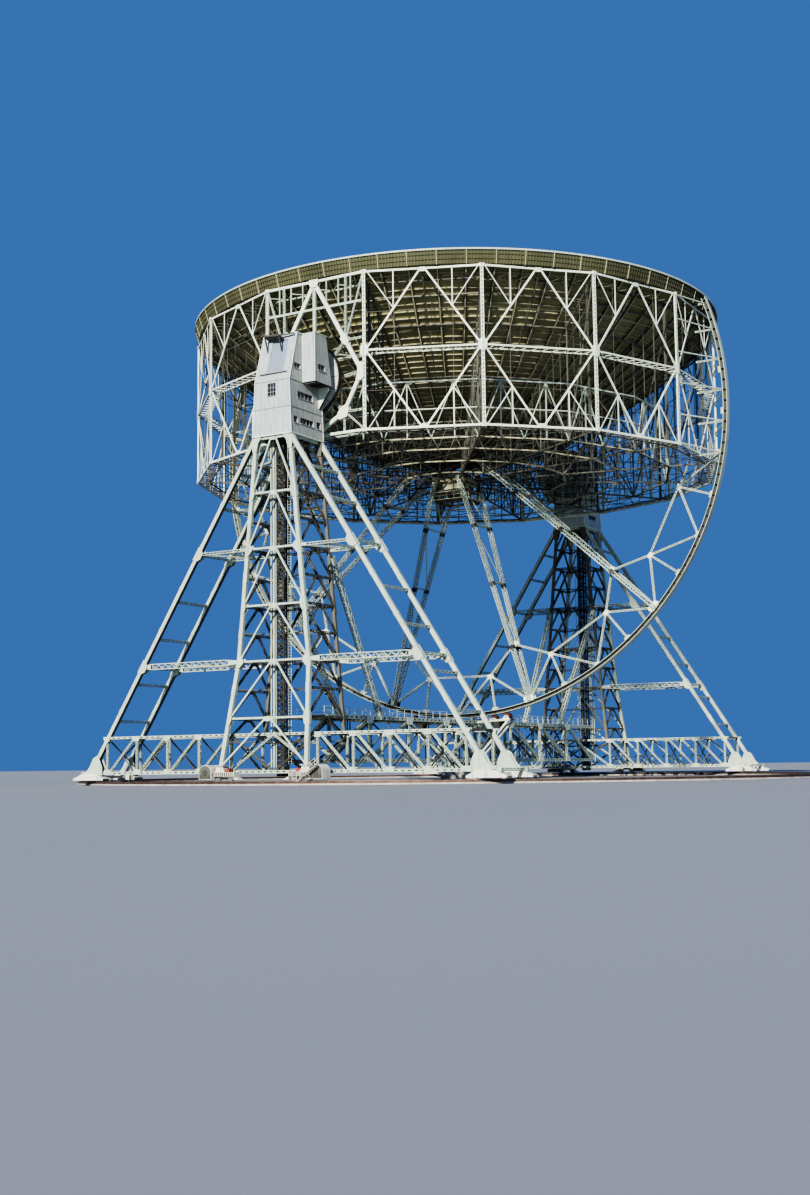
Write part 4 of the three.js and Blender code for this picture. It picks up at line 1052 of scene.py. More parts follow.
def laboratory():
    p = Piece(352)
    x, y, low, high = 1.8, 1.3, 41.93, 44.45
    windows = [(0.12, 0.34, 0.5, 0.8, 2, 1), (0.62, 0.84, 0.5, 0.8, 2, 1)]
    for s in (-1, 1):
        corners = [(-x, s * y, low), (x, s * y, low), (x, s * y, high), (-x, s * y, high)]
        wall(p, corners, windows, EY * s, 0, 1, 0.08, 0.6, 2)
    for s in (-1, 1):
        corners = [(s * x, -y, low), (s * x, y, low), (s * x, y, high), (s * x, -y, high)]
        wall(p, corners, [], EX * s, 0, 1, 0.08, 0.65, 2)
    edge = vec(x + 0.04, y + 0.04, 0)
    p.box(UP * (high - 0.02) - edge, UP * (high + 0.05) + edge, 2, 0.3)
    p.box(UP * (low - 0.05) - edge, UP * (low + 0.05) + edge, 2, 0.6)
    bracket = ((-0.7, 44.4), (0.7, 44.4), (0.35, 43.2), (0.15, 42.8), (-0.15, 42.8), (-0.35, 43.2))
    for s in (-1, 1):
        p.bars(vec(s * 1.75, 0, 43.2), vec(s * 2.1, 0, 43.2), circle(0.12, 16), UP, 3, 0.3, True)
        p.slab([vec(s * 1.84, u, v) for u, v in bracket], EX * 0.06, 2, 0.4)
    return p.finish("laboratory_cabin", "cabin", "laboratory", ["laboratory"], [BUFF, GLASS, PALE, BRIGHT])


def mast():
    p = Piece(353)
    base, top = skin_height(0.0) + 0.32, 65.0

    def corner(i, share):
        return ray_point((i + 0.5) * math.pi / 2, mix(1.95, 0.42, share), mix(base, top, share))

    levels = np.linspace(0, 1, 15) ** 0.9
    for i in range(4):
        normal = ray_point((i + 1) * math.pi / 2, 1.0, 0)
        p.bars(corner(i, 0), corner(i, 1), chamfered(0.2, 0.2, 0.03), normal, 0, 0.2)
        for n, (s0, s1) in enumerate(zip(levels[:-1], levels[1:])):
            p.bars(corner(i, s0), corner(i + 1, s0), square(0.08), normal)
            a, b = (i, i + 1) if n % 2 else (i + 1, i)
            p.bars(corner(a, s0), corner(b, s1), square(0.07), normal)
        p.bars(corner(i, 1), corner(i + 1, 1), square(0.1), normal)
        foot = corner(i, 0)
        p.box(foot - vec(0.3, 0.3, 0.06), foot + vec(0.3, 0.3, 0.04), 0, 0.5)
    p.bars(UP * 62.3, UP * 65.05, circle(0.16, 16), EX, 1, 0.2, True)
    p.revolve([[0, 64.2], [0.42, 64.25], [0.42, 64.4], [0, 64.45]], 24, 1, shade=0.2)
    for x in (-0.3, 0.3):
        p.bars(vec(0.9 * x, -0.6, base + 1), vec(0.5 * x, -0.1, 64), square(0.04), EX)
    return p.finish("aerial_lattice", "reflector", "lattice", ["aerial_mast"], [PALE, HOUSING])


hub()
laboratory()
mast()


# Towers


def half_width(z):
    return float(np.interp(z, LEVELS[::-1], HALF_WIDTHS[::-1]))


def leg_out(z):
    return OUTER_X + max(0.0, LEVELS[KNEE] - z) / (LEVELS[KNEE] - LEVELS[-1]) * (FOOT_X - OUTER_X)


def tower(word, side):
    p = Piece(360 + side)
    nx, ny = EX * side, EY

    def outer(sign, z):
        return tower_point(side, leg_out(z), sign * half_width(z), z)

    def inner(sign, z):
        return tower_point(side, INNER_X, sign * half_width(z), z)

    halves = [LEVELS[0]]
    for a, b in zip(LEVELS[:-1], LEVELS[1:]):
        halves += [(a + b) / 2, b]
    knee, foot_z = LEVELS[KNEE], LEVELS[-1]
    # Inner legs, inner caps and gussets, inner and side faces, plan bracing and the head's cross beams take
    # SHADED, the dark copy of the paint: painted shade inside the tower
    for sign in (-1, 1):
        across = tower_point(side, 0, -sign, 0)
        legs = ((outer, LEVELS[0], knee, 0.5, 0), (outer, knee, foot_z + 0.1, 0.5, 0),
                (inner, LEVELS[0], 6.1, 0.42, 1))
        for leg, z0, z1, size, look in legs:
            p.bars(leg(sign, z0), leg(sign, z1), chamfered(size, size, 0.04), EX, look, 0.05)
        for z in halves[1:-1:2]:
            p.bars(outer(sign, z + 0.6), outer(sign, z - 0.6), chamfered(0.55, 0.55, 0.04), EX, 0, 0.15)
        # The caps widen just under the machine house
        for leg, look in ((outer, 0), (inner, 1)):
            top, foot = leg(sign, LEVELS[0] - 0.1), leg(sign, LEVELS[0] - 1.7)
            for lift in (-0.29, 0.29):
                cap = [top - ny * 0.55, top + ny * 0.55, foot + ny * 0.28, foot - ny * 0.28]
                p.slab([q + nx * lift for q in cap], nx * 0.05, look, 0.1)
        for i, z in enumerate(LEVELS[:-1]):
            big = 0.85 if i in (0, 2, KNEE) else 0.5
            middle = outer(sign, z)
            up = unit(middle - outer(sign, z - 1.0))
            shape = [(0.0, 0.7), (0.35, 0.6), (big, 0.14), (big, -0.2), (0.35, -0.8), (0.0, -1.0)]
            for lift in (0.3, -0.3):
                gusset(p, middle - across * 0.05, across, up, nx, shape, 0.04, 0, 0.1, [lift])
                gusset(p, middle + nx * 0.1, nx * -0.9, up, across, shape, 0.04, 0, 0.15, [lift])
            spot = inner(sign, z) - nx * 0.1 - across * 0.25
            gusset(p, spot, nx * 0.8, up, across, shape, 0.04, 1, 0.2)
        foot = outer(sign, foot_z)
        p.box(foot - vec(0.6, 0.6, 0.0), foot + vec(0.6, 0.6, 0.14), 0, 0.2)
    # Outer and inner faces: a strut at each level and an inverted V below it
    for z0, z1 in zip(LEVELS[:-1], LEVELS[1:]):
        a0, b0, a1, b1 = outer(-1, z0), outer(1, z0), outer(-1, z1), outer(1, z1)
        crown, way = (a0 + b0) / 2, unit(b0 - a0)
        shift = way * 0.3
        p.bars(a0, b0, chamfered(0.26, 0.26, 0.03), EX, 0, 0.1)
        p.bars([crown - shift, crown + shift], [a1, b1], chamfered(0.22, 0.22, 0.02), EX, 0, 0.15)
        shape = ((-0.45, 0.16), (0.45, 0.16), (0.4, -0.4), (-0.4, -0.4))
        gusset(p, crown + nx * 0.14, way, UP, nx, shape, 0.04, 0, 0.1)
        if z1 == foot_z:
            continue
        a0, b0, a1, b1 = inner(-1, z0), inner(1, z0), inner(-1, z1), inner(1, z1)
        crown = (a0 + b0) / 2
        p.laced(a0, b0, 0.3, 0.28, EX, edge=0.08, look=1)
        for end, sign in ((a1, -1), (b1, 1)):
            p.laced(crown + shift * sign, end, 0.26, 0.24, EX, look=1)
    # Side faces have twice as many panels
    shape = ((-0.45, 0.14), (0.45, 0.14), (0.3, -0.35), (-0.3, -0.35))
    for sign in (-1, 1):
        for z0, z1 in zip(halves[:-2], halves[1:-1]):
            a0, b0, a1, b1 = outer(sign, z0), inner(sign, z0), outer(sign, z1), inner(sign, z1)
            crown = (a0 + b0) / 2
            p.laced(a0, b0, 0.28, 0.26, EY, look=1)
            for end, way in ((a1, 1), (b1, -1)):
                p.laced(crown + nx * 0.25 * way, end, 0.24, 0.2, EY, edge=0.06, look=1, faces=2)
            gusset(p, crown + ny * 0.12, nx, UP, ny, shape, 0.04, 1, 0.2)
    for z in halves[1:-1]:
        corners = [outer(-1, z), outer(1, z), inner(1, z), inner(-1, z)]
        for a, b in zip(corners[:2], corners[2:]):
            p.laced(a, b, 0.18, 0.16, UP, pitch=0.6, edge=0.05, flat=0.04, look=1, faces=2, plate=0)
    # Head of the tower: a grid of deep beams under the machine house
    z = LEVELS[0] - 0.05
    ring = [outer(-1, z), outer(1, z), inner(1, z), inner(-1, z)]
    for i in range(4):
        p.bars(ring[i], ring[(i + 1) % 4], chamfered(0.3, 0.4, 0.03), UP, 0, 0.2)
    for share in (0.25, 0.5, 0.75):
        p.bars(mix(ring[0], ring[3], share), mix(ring[1], ring[2], share), rectangle(0.2, 0.35), UP, 1)
    return p.finish(f"{word}_tower_lattice", "turntable", "lattice", [f"{word}_tower"], [PALE, SHADED])


def raker_point(side, out, sign, z):
    share = (LEVELS[0] - z) / (LEVELS[0] - RAKER_FOOT_Z)
    return tower_point(side, out, sign * mix(RAKER_TOP_Y, RAKER_FOOT_Y, share), z)


def rakers(word, side, sign, letter):
    p = Piece(365 + side + 3 * sign)
    for out in (OUTER_X, INNER_X):
        top, foot = raker_point(side, out, sign, LEVELS[0] - 0.1), raker_point(side, out, sign, RAKER_FOOT_Z)
        along = unit(foot - top)
        above = np.cross(EX, along)
        above = above if above[2] > 0 else -above
        p.bars(top, foot, chamfered(0.52, 0.48, 0.04), EX, 0, 0.05)
        # A dark flat along the underside of each raker, in SHADED: painted shade
        p.bars(top - above * 0.27, foot - above * 0.27, rectangle(0.44, 0.05), above, 1, 0.8)
        for share in np.linspace(0.06, 0.94, 8):
            spot = mix(top, foot, share)
            p.bars(spot, spot + along * 0.5, chamfered(0.57, 0.53, 0.04), EX, 0, 0.2)

        def ends(z):
            return tower_point(side, out, sign * (half_width(z) + 0.3), z), raker_point(side, out, sign, z)

        # Struts from the tower: a light one and, lower, a deep girder with tapered ends
        p.laced(*ends(LEVELS[2]), 0.36, 0.32, EX, edge=0.08)
        a, b = ends(LEVELS[KNEE])
        stops = [a, mix(a, b, 0.1), mix(a, b, 0.9), b]
        for rise in (-1, 1):
            line = np.array([q + UP * rise * h for q, h in zip(stops, (0.12, 0.32, 0.32, 0.12))])
            for x in (-0.14, 0.14):
                p.path(line + EX * x, square(0.1), EX, 0, 0.1)
            p.laced(line[1], line[2], 0.3, 0.08, UP, edge=0.04, look=0, faces=2, plate=0)
        share = np.linspace(0.1, 0.9, 23)[:, None]
        swing = UP * 0.31 * np.where(np.arange(23) % 2 == 0, 1, -1)[:, None]
        shape = ((-0.3, 0.2), (1.3, 0.34), (1.3, -0.34), (-0.3, -0.2))
        for x in (-0.15, 0.15):
            zigzag = mix(a, b, share) + swing + EX * x
            p.path(zigzag, rectangle(0.08, 0.03), EX)
            for end, other in ((a, stops[1]), (b, stops[2])):
                gusset(p, end + EX * x * 1.25, unit(other - end), UP, EX, shape, 0.04, 0, 0.1)
        shape = ((-0.9, 0.3), (0.9, 0.3), (0.8, -0.35), (0.3, -0.7), (-0.4, -0.7), (-0.8, -0.35))
        for z in (LEVELS[2], LEVELS[KNEE]):
            middle = raker_point(side, out, sign, z)
            gusset(p, middle, along, above, EX, shape, 0.04, 0, 0.15, (-0.32, 0.32))
    # Cross ties between the pair, and the plan bracing of its struts
    for z in (37.5, 33.5, 28.1, 22.5, 18.0, 14.6, 12.5, 8.0):
        a, b = raker_point(side, OUTER_X - 0.3, sign, z), raker_point(side, INNER_X + 0.3, sign, z)
        p.laced(a, b, 0.34, 0.32, UP, pitch=0.46, plate=0.5)
    for z, parts in ((LEVELS[2], 2), (LEVELS[KNEE], 3)):
        a = [tower_point(side, out, sign * half_width(z), z) for out in (OUTER_X, INNER_X)]
        b = [raker_point(side, out, sign, z) for out in (OUTER_X, INNER_X)]
        for i in range(parts):
            s0, s1 = i / parts, (i + 1) / parts
            first, second = (0, 1) if i % 2 == 0 else (1, 0)
            pairs = [(mix(a[first], b[first], s0), mix(a[second], b[second], s1))]
            if i:
                pairs.append((mix(a[0], b[0], s0), mix(a[1], b[1], s0)))
            for start, end in pairs:
                p.laced(start, end, 0.24, 0.2, UP, edge=0.06, flat=0.04)
    shape = ((-1.6, -0.95), (1.05, -0.95), (1.05, -0.5), (0.5, 0.1), (-0.1, 1.2), (-0.9, 1.6), (-1.6, 0.1))
    for out in (OUTER_X, INNER_X):
        foot = raker_point(side, out, sign, RAKER_FOOT_Z)
        gusset(p, foot, tower_point(side, 0, sign, 0), UP, EX, shape, 0.06, 0, 0.1, (-0.36, 0.36))
        p.box(foot - vec(0.5, 1.2, 1.0), foot + vec(0.5, 1.2, -0.86), 0, 0.3)
    node = f"{word}_raking_legs_{letter}"
    return p.finish(f"{word}_rakers_{letter}", "turntable", "lattice", [node], [PALE, SHADED])


def base_girder(word, side):
    p = Piece(370 + side)
    reach, top, low = PANEL_POINTS[-1], GIRDER_TOP, GIRDER_BOTTOM
    at = partial(tower_point, side)

    def light(a, b, size=0.26, normal=EX, look=0):
        p.laced(a, b, size, size, normal, pitch=0.46, look=look, plate=0.5)

    # Short struts in the panels, the second diagonals at the middle, the cross frames and the plan bracing
    # take SHADED, the dark copy of the paint: painted shade
    for out in (OUTER_X, INNER_X):
        p.battened(at(out, -reach, top), at(out, reach, top), 0.32, 0.34, EX, pitch=0.9, gap=0.36, edge=0.1)
        p.battened(at(out, -30, low), at(out, 30, low), 0.38, 0.36, EX, pitch=0.9, gap=0.36, edge=0.12)
        for sign in (-1, 1):
            for y, step in zip(PANEL_POINTS, PANEL_POINTS[1:] + [None]):
                light(at(out, sign * y, low), at(out, sign * y, top))
                for z, way in ((top, -1), (low, 1)):
                    shape = [(-0.6, -0.17 * way), (0.6, -0.17 * way), (0.4, 0.45 * way), (-0.4, 0.45 * way)]
                    across = tower_point(side, 0, 1, 0)
                    gusset(p, at(out, sign * y, z), across, UP, EX, shape, 0.04, 0, 0.15, (-0.19, 0.19))
                if step:
                    start = at(out, sign * (y + 0.3), low)
                    light(at(out, sign * (y + 0.3), top), at(out, sign * (step - 0.3), low))
                    p.bars(start, at(out, sign * (y + step) / 2, 3.7), square(0.1), EX, 1)
            light(at(out, 0, top), at(out, sign * 6.1, low + 0.2))
            light(at(out, 0, low), at(out, sign * 6.1, top - 0.2), 0.22, EX, 1)
    ys = sorted([s * y for s in (-1, 1) for y in PANEL_POINTS] + [0.0])
    for y in ys:
        a0, b0 = at(OUTER_X, y, top), at(INNER_X, y, top)
        a1, b1 = at(OUTER_X, y, low), at(INNER_X, y, low)
        light(a0, b0, 0.26, EY, 1)
        light(a1, b1, 0.26, EY, 1)
        p.bars([a0, b0], [b1, a1], rectangle(0.14, 0.12), EY, 1)
    for i, (y0, y1) in enumerate(zip(ys[:-1], ys[1:])):
        first, second = (OUTER_X, INNER_X) if i % 2 else (INNER_X, OUTER_X)
        for z in (top, low):
            a, b = at(first, y0, z), at(second, y1, z)
            p.laced(a, b, 0.2, 0.18, UP, pitch=0.6, edge=0.06, flat=0.04, look=1, faces=2)
    for sign in (-1, 1):
        light(at(OUTER_X, sign * 29.6, low), at(INNER_X, sign * 29.6, low), 0.32, EY)
    return p.finish(f"{word}_girder_lattice", "turntable", "lattice", [f"{word}_base_girder"], [PALE, SHADED])


# Machine houses


def machine_house(word, side):
    """Two storeys on a floor: the walls lean in, and a bay hangs out at one side."""
    p = Piece(375 + side)
    at = partial(tower_point, side)
    front, left, right = EX * side, at(0, 1, 0), at(0, -1, 0)
    # Front, half width and height of the floor, the seam and the roof
    low, seam, top = (46.3, 2.82, 41.72), (46.25, 2.55, 48.35), (44.5, 2.48, 54.4)
    storeys, back = ((low, seam), (seam, top)), 39.4
    openings = (((0.367, 0.6, 0.716, 0.955, 3, 3), 3, 0.14), ((0.31, 0.78, 0.174, 0.884, 1, 1), 4, 0.12))
    for ((x0, y0, z0), (x1, y1, z1)), (window, pane_look, depth) in zip(storeys, openings):
        corners = [at(x0, y0, z0), at(x0, -y0, z0), at(x1, -y1, z1), at(x1, y1, z1)]
        wall(p, corners, [window], front, 0, pane_look, depth)
    rows = [(0.238, 0.713, 0.687, 0.814, 4, 1), (0.096, 0.219, 0.197, 0.323, 1, 1),
            (0.296, 0.709, 0.212, 0.328, 4, 1), (0.804, 0.933, 0.206, 0.343, 1, 1)]
    for sign, facing in ((-1, right), (1, left)):
        lower = rows if sign < 0 else rows[:1] + rows[2:3]
        upper = [(0.067, 0.287, 0.25, 0.365, 2, 1)]
        for ((x0, y0, z0), (x1, y1, z1)), windows in zip(storeys, (lower, upper)):
            y0, y1 = sign * y0, sign * y1
            corners = [at(x0, y0, z0), at(back, y0, z0), at(back, y1, z1), at(x1, y1, z1)]
            wall(p, corners, windows, facing, 1, 3, 0.2)
        for z in (45.0, seam[2]):
            y = sign * (float(np.interp(z, [low[2], seam[2]], [low[1], seam[1]])) + 0.03)
            p.bars(at(low[0], y, z), at(back, y, z), rectangle(0.08, 0.07), facing, 1, 0.9)
        for corner in ("front", "back"):
            for (x0, y0, z0), (x1, y1, z1) in storeys:
                a, b = (x0, x1) if corner == "front" else (back, back)
                ends = at(a, sign * y0, z0), at(b, sign * y1, z1)
                p.bars(*ends, chamfered(0.11, 0.11, 0.03), front, 2, 0.6)
    for (_, y0, z0), (_, y1, z1) in storeys:
        corners = [at(back, -y0, z0), at(back, y0, z0), at(back, y1, z1), at(back, -y1, z1)]
        wall(p, corners, [], -front, 0, 3, 0.1)
    low, seam, top = low[2], seam[2], top[2]
    for z, y, x in ((45.0, 2.7, 46.31), (seam, 2.57, 46.28)):
        p.bars(at(x, -y, z), at(x, y, z), rectangle(0.08, 0.06), front, 1, 0.9)
    p.bars(at(46.02, 1.9, 49.3), at(46.02, -2.0, 49.3), square(0.14), front, 5, 0.2)
    # Canopy over the tall panel, with its stays and a hoist beam
    canopy = ((44.75, 1.5, 53.85), (44.75, -0.75, 53.75), (45.85, -0.75, 54.0), (45.85, 1.5, 54.15))
    p.slab([at(*corner) for corner in canopy], UP * 0.22, 5, 0.3)
    for y in (1.4, -0.65):
        p.bars(at(45.75, y, 53.95), at(45.1, y, 52.2), square(0.14), EY, 5, 0.2)
    p.bars(at(45.1, -0.4, 54.2), at(44.9, -2.3, 54.25), rectangle(0.16, 0.2), EY, 5, 0.1)
    # Side bay: flat underside with a deep soffit, carried by a bracket. The underside plate and the strip
    # along the bracket's lower edge are dark paint as painted shade.
    y0, y1, x0, x1 = -2.5, -4.35, 43.45, 39.75
    bay = [at(x0, y1, seam), at(x1, y1, seam), at(41.0, y1, top), at(x0, y1, top)]
    wall(p, bay, [(0.2, 0.66, 0.246, 0.374, 2, 1)], right, 1, 3, 0.2)
    wall(p, [at(x0, y0, seam), at(x0, y1, seam), at(x0, y1, top), at(x0, y0, top)], [], front, 0, 3, 0.1)
    flats = (
        (((x1, y0, seam), (x1, y1, seam), (41.0, y1, top), (41.0, y0, top)), front * 0.05, 1, 0.4),
        (((43.5, y0, top), (43.5, y1 - 0.05, top), (40.95, y1 - 0.05, top), (40.95, y0, top)),
         UP * 0.08, 2, 0.3),
        (((x0, y0, seam), (x0, y1, seam), (x1, y1, seam), (x1, y0, seam)), UP * 0.06, 5, 0.6),
    )
    for outline, thick, look, shade in flats:
        p.slab([at(*corner) for corner in outline], thick, look, shade)
    for out in (43.2, 41.6):
        p.bars(at(out, y0, seam - 0.12), at(out, y1 + 0.1, seam - 0.12), rectangle(0.14, 0.2), EX, 5, 0.2)
    bracket = ((y0, 45.45), (-4.2, 47.9), (-4.2, seam), (y0, seam))
    for out, look, shade in ((40.15, 2, 0.05), (39.79, 1, 0.6)):
        p.slab([at(out, y, z) for y, z in bracket], front * 0.06, look, shade)
    flange = ((40.15, y0, 45.45), (39.79, y0, 45.45), (39.79, -4.2, 47.9), (40.15, -4.2, 47.9))
    p.slab([at(*corner) for corner in flange], right * 0.04, 5, 0.6)
    for y in (y1, y0 - 0.02):
        p.bars(at(x0, y, seam), at(x0, y, top), chamfered(0.1, 0.1, 0.02), front, 2, 0.5)
    # Roof, floor and their edges
    for x0, x1, z, size in ((44.55, 39.35, top, 2.52), (46.36, 39.35, low - 0.02, 2.88)):
        outline = [at(x0, size, z), at(x0, -size, z), at(x1, -size, z), at(x1, size, z)]
        p.slab(outline, UP * 0.1, 2, 0.4)
        p.bars(outline, outline[1:] + outline[:1], rectangle(0.1, 0.14), UP, 2, 0.6)
    p.box(at(42.6, 1.5, top), at(41.2, 0.3, top + 0.4), 1, 0.4)
    for y in (-1.2, -0.2):
        p.bars(at(43.4, y, top), at(43.4, y, top + 0.55), circle(0.16, 10), EX, 2, 0.4, True)
    p.revolve(band(0.66, 1.5, 39.33, 39.42), 32, 5, place=lying(side), shade=0.3)
    looks = [CLAD_Y, CLAD_X, WHITE, GLASS, BLUE, DARK]
    return p.finish(f"{word}_house", "turntable", "cladding", [f"{word}_machine_house"], looks)


def lift_shaft(word, side):
    p = Piece(380 + side)
    at = partial(tower_point, side)
    low, high, out = 0.95, 41.6, 44.4
    a, b = at(44.15, 0, low), at(44.15, 0, high)
    p.laced(a, b, 1.08, 1.06, EX, pitch=0.62, edge=0.12, flat=0.07, plate=1.2, cross=True)
    for y in (-0.3, 0.3):
        p.bars(at(43.75, y, low), at(43.75, y, high), rectangle(0.1, 0.12), EX)
    for z in np.arange(1.6, 41, 1.15):
        ring = [at(x, y, z) for x, y in ((43.64, -0.5), (43.64, 0.5), (44.66, 0.5), (44.66, -0.5))]
        p.bars(ring, ring[1:] + ring[:1], square(0.1))
    # A box in SHADED, the dark copy of the paint: painted shade
    p.box(at(43.8, -0.35, 22.0), at(44.5, 0.35, 24.3), 2, 0.5)
    # Pipes beside the shaft and the ladder
    for y, radius in ((1.1, 0.15), (1.5, 0.09), (0.8, 0.06)):
        p.tube([at(out, y, 2.0), at(out, y, high)], radius, 12, 1, 0.3)
        for z in LEVELS[1:-1]:
            p.tube([at(out, y, z - 0.1), at(out, y, z + 0.12)], radius + 0.04, 12, 1, 0.6)
    for z in np.arange(3.0, 41, 3.2):
        p.bars(at(out, 0.5, z), at(out, 1.5, z), rectangle(0.07, 0.1))
    rails = (-0.95, -1.4)
    low_ends, high_ends = ([at(out, y, z) for y in rails] for z in (2.4, 41.2))
    p.bars(low_ends, high_ends, square(0.05), EX, 1)
    left, right = ([at(out, y, z) for z in np.arange(2.7, 41.0, 0.33)] for y in rails)
    p.bars(left, right, square(0.03), EX, 1)
    for z in LEVELS[1:-1]:
        p.box(at(43.7, -1.6, z), at(44.9, -0.6, z + 0.06), 0, 0.5)
        p.bars(at(out, -0.9, z + 0.3), at(out, -0.5, z + 0.3), square(0.06))
    node = f"{word}_lift_shaft"
    return p.finish(f"{word}_shaft", "turntable", "dark_lattice", [node], [DARK, PALE, SHADED])


# Bogies


def wheel_place(side, angle, radius, z):
    """Places a shape turned about the vertical so that its axle points away from the centre."""
    centre = tower_point(side, radius * math.cos(angle), radius * math.sin(angle), z)
    out = unit(vec(centre[0], centre[1], 0))
    around = np.cross(UP, out)
    place = np.eye(4)
    place[:3, 0], place[:3, 1], place[:3, 2], place[:3, 3] = around, np.cross(out, around), out, centre
    return place


def bogie_wheels(p, side, radius, angles, look):
    """Wheels of 0.84 m on a rail, with a hub at each face."""
    half = [[0.0, 0.16], [0.14, 0.16], [0.14, 0.12], [0.42, 0.12]]
    outline = [[r, -z] for r, z in half] + half[::-1]
    for degrees in angles:
        place = wheel_place(side, math.radians(degrees), radius, RAIL_TOP + 0.425)
        p.revolve(outline, 28, look, place=place, shade=0.3)


def drive_bogie(word, side, sign, letter):
    p = Piece(385 + side + 3 * sign)
    foot = HALF_WIDTHS[-1]

    def at(out, y, z):
        return tower_point(side, out, sign * (foot + y), z)

    p.box(at(47.6, -2.2, 0.98), at(48.6, 1.0, 1.5), 0, 0.3)
    for y in np.arange(-2.0, 1.0, 0.28):
        p.box(at(47.5, y, 1.0), at(48.72, y + 0.06, 1.48), 1, 0.4)
    # Motor housing: rounded top, round port, ribbed side
    turns = np.linspace(0.0, math.pi, 13)
    arch = [(0.9, 0.66), (2.7, 0.66)] + [(1.8 + 0.9 * math.cos(t), 1.55 + 0.8 * math.sin(t)) for t in turns]
    p.slab([at(48.15, y, z) for y, z in arch], EX * 1.66, 0, 0.1)
    for x in (47.33, 48.97):
        rim = [at(x, 1.8 + (y - 1.8) * 0.94, 0.72 + (z - 0.66) * 0.93) for y, z in arch]
        p.slab(rim, EX * 0.06, 2, 0.3)
        gusset(p, at(x, 1.8, 1.45), EY, UP, EX, circle(0.36, 20), 0.12, 1, 0.2)
    for y in np.arange(1.05, 2.6, 0.2):
        p.box(at(47.28, y, 0.7), at(49.0, y + 0.05, 1.2), 1, 0.5)
    p.slab([at(48.15, y, z) for y, z in ((-2.2, 0.95), (-3.0, 0.62), (-2.2, 0.62))], EX, 0, 0.2)
    p.box(at(47.8, -1.3, 1.5), at(48.4, -0.7, 1.9), 3, 0.3)
    p.box(at(47.75, 0.5, 1.5), at(48.35, 0.95, 1.85), 3, 0.6)
    pedestal = ((-0.75, 1.48), (0.75, 1.48), (0.4, 2.18), (-0.4, 2.18))
    p.slab([at(48.1, y, z) for y, z in pedestal], EX * 0.8, 0, 0.2)
    p.tube([at(47.45, -1.0, 1.7), at(47.45, 0.9, 1.7), at(47.45, 0.95, 1.2)], 0.05, 8, 2, 0.4)
    # Steps up to the walkway beside the housing
    if sign < 0:
        for share in stations(8):
            y, z = mix(-0.4, 1.9, share), mix(0.45, 2.05, share)
            p.box(at(49.05, y + 0.1, z), at(49.75, y + 0.38, z + 0.05), 2, 0.4)
        for x in (49.05, 49.75):
            a, b = at(x, -0.3, 0.35), at(x, 2.2, 2.1)
            p.bars(a, b, rectangle(0.05, 0.2), EX, 0, 0.2)
            p.bars(a + UP * 0.9, b + UP * 0.9, square(0.05), EX, 0, 0.2)
            for q in (a, mix(a, b, 0.5), b):
                p.bars(q, q + UP * 0.9, square(0.045), EX, 0, 0.2)
    middle = math.degrees(math.asin(foot / INNER_RAIL_R))
    bogie_wheels(p, side, INNER_RAIL_R, [sign * (middle + turn) for turn in (-1.9, 0.5)], 4)
    looks = [HOUSING, DARK, SHADED, RED, BRIGHT]
    node = f"{word}_drive_bogie_{letter}"
    return p.finish(f"{word}_drive_unit_{letter}", "turntable", "housing", [node], looks)


def end_bogie(word, side, sign, letter):
    p = Piece(390 + side + 3 * sign)
    hump = [(-2.1, 0.62), (2.9, 0.62), (2.9, 0.85), (2.2, 1.05),
            (1.55, 1.4), (-0.6, 1.4), (-1.4, 1.15), (-2.1, 0.85)]

    def at(out, y, z):
        return tower_point(side, out, sign * (RAKER_FOOT_Y + 0.1 + y), z)

    p.box(at(INNER_X - 0.4, -0.3, 0.88), at(OUTER_X + 0.4, 0.3, 1.18), 0, 0.3)
    for out in np.arange(INNER_X + 0.5, OUTER_X, 0.9):
        p.box(at(out, -0.34, 0.9), at(out + 0.07, 0.34, 1.16), 0, 0.5)
    for out, radius in ((INNER_X, INNER_RAIL_R), (OUTER_X, OUTER_RAIL_R)):
        for x in (-0.66, 0.66):
            p.slab([at(out + x, y, z) for y, z in hump], EX * 0.08, 0, 0.15)
        x0, x1 = out - 0.64, out + 0.64
        for a, b in zip(hump[2:-1], hump[3:]):
            p.slab([at(x0, *a), at(x1, *a), at(x1, *b), at(x0, *b)], vec(0, 0.02, 0.07), 0, 0.15)
        p.box(at(out - 0.5, -1.4, 0.8), at(out + 0.5, 1.4, 1.1), 1, 0.4)
        angle = math.degrees(math.atan2(RAKER_FOOT_Y, out))
        bogie_wheels(p, side, radius, [sign * (angle + turn) for turn in (-1.1, 1.1)], 2)
    return p.finish(f"{word}_end_unit_{letter}", "turntable", "housing", [f"{word}_end_bogies_{letter}"],
                    [HOUSING, DARK, BRIGHT])


for word, side in (("near", -1), ("far", 1)):
    tower(word, side)
    base_girder(word, side)
    machine_house(word, side)
    lift_shaft(word, side)
    for letter, sign in (("a", -1), ("b", 1)):
        rakers(word, side, sign, letter)
        drive_bogie(word, side, sign, letter)
        end_bogie(word, side, sign, letter)


# Diametral girder and the rollers of the ring

LINK_PANELS = 8


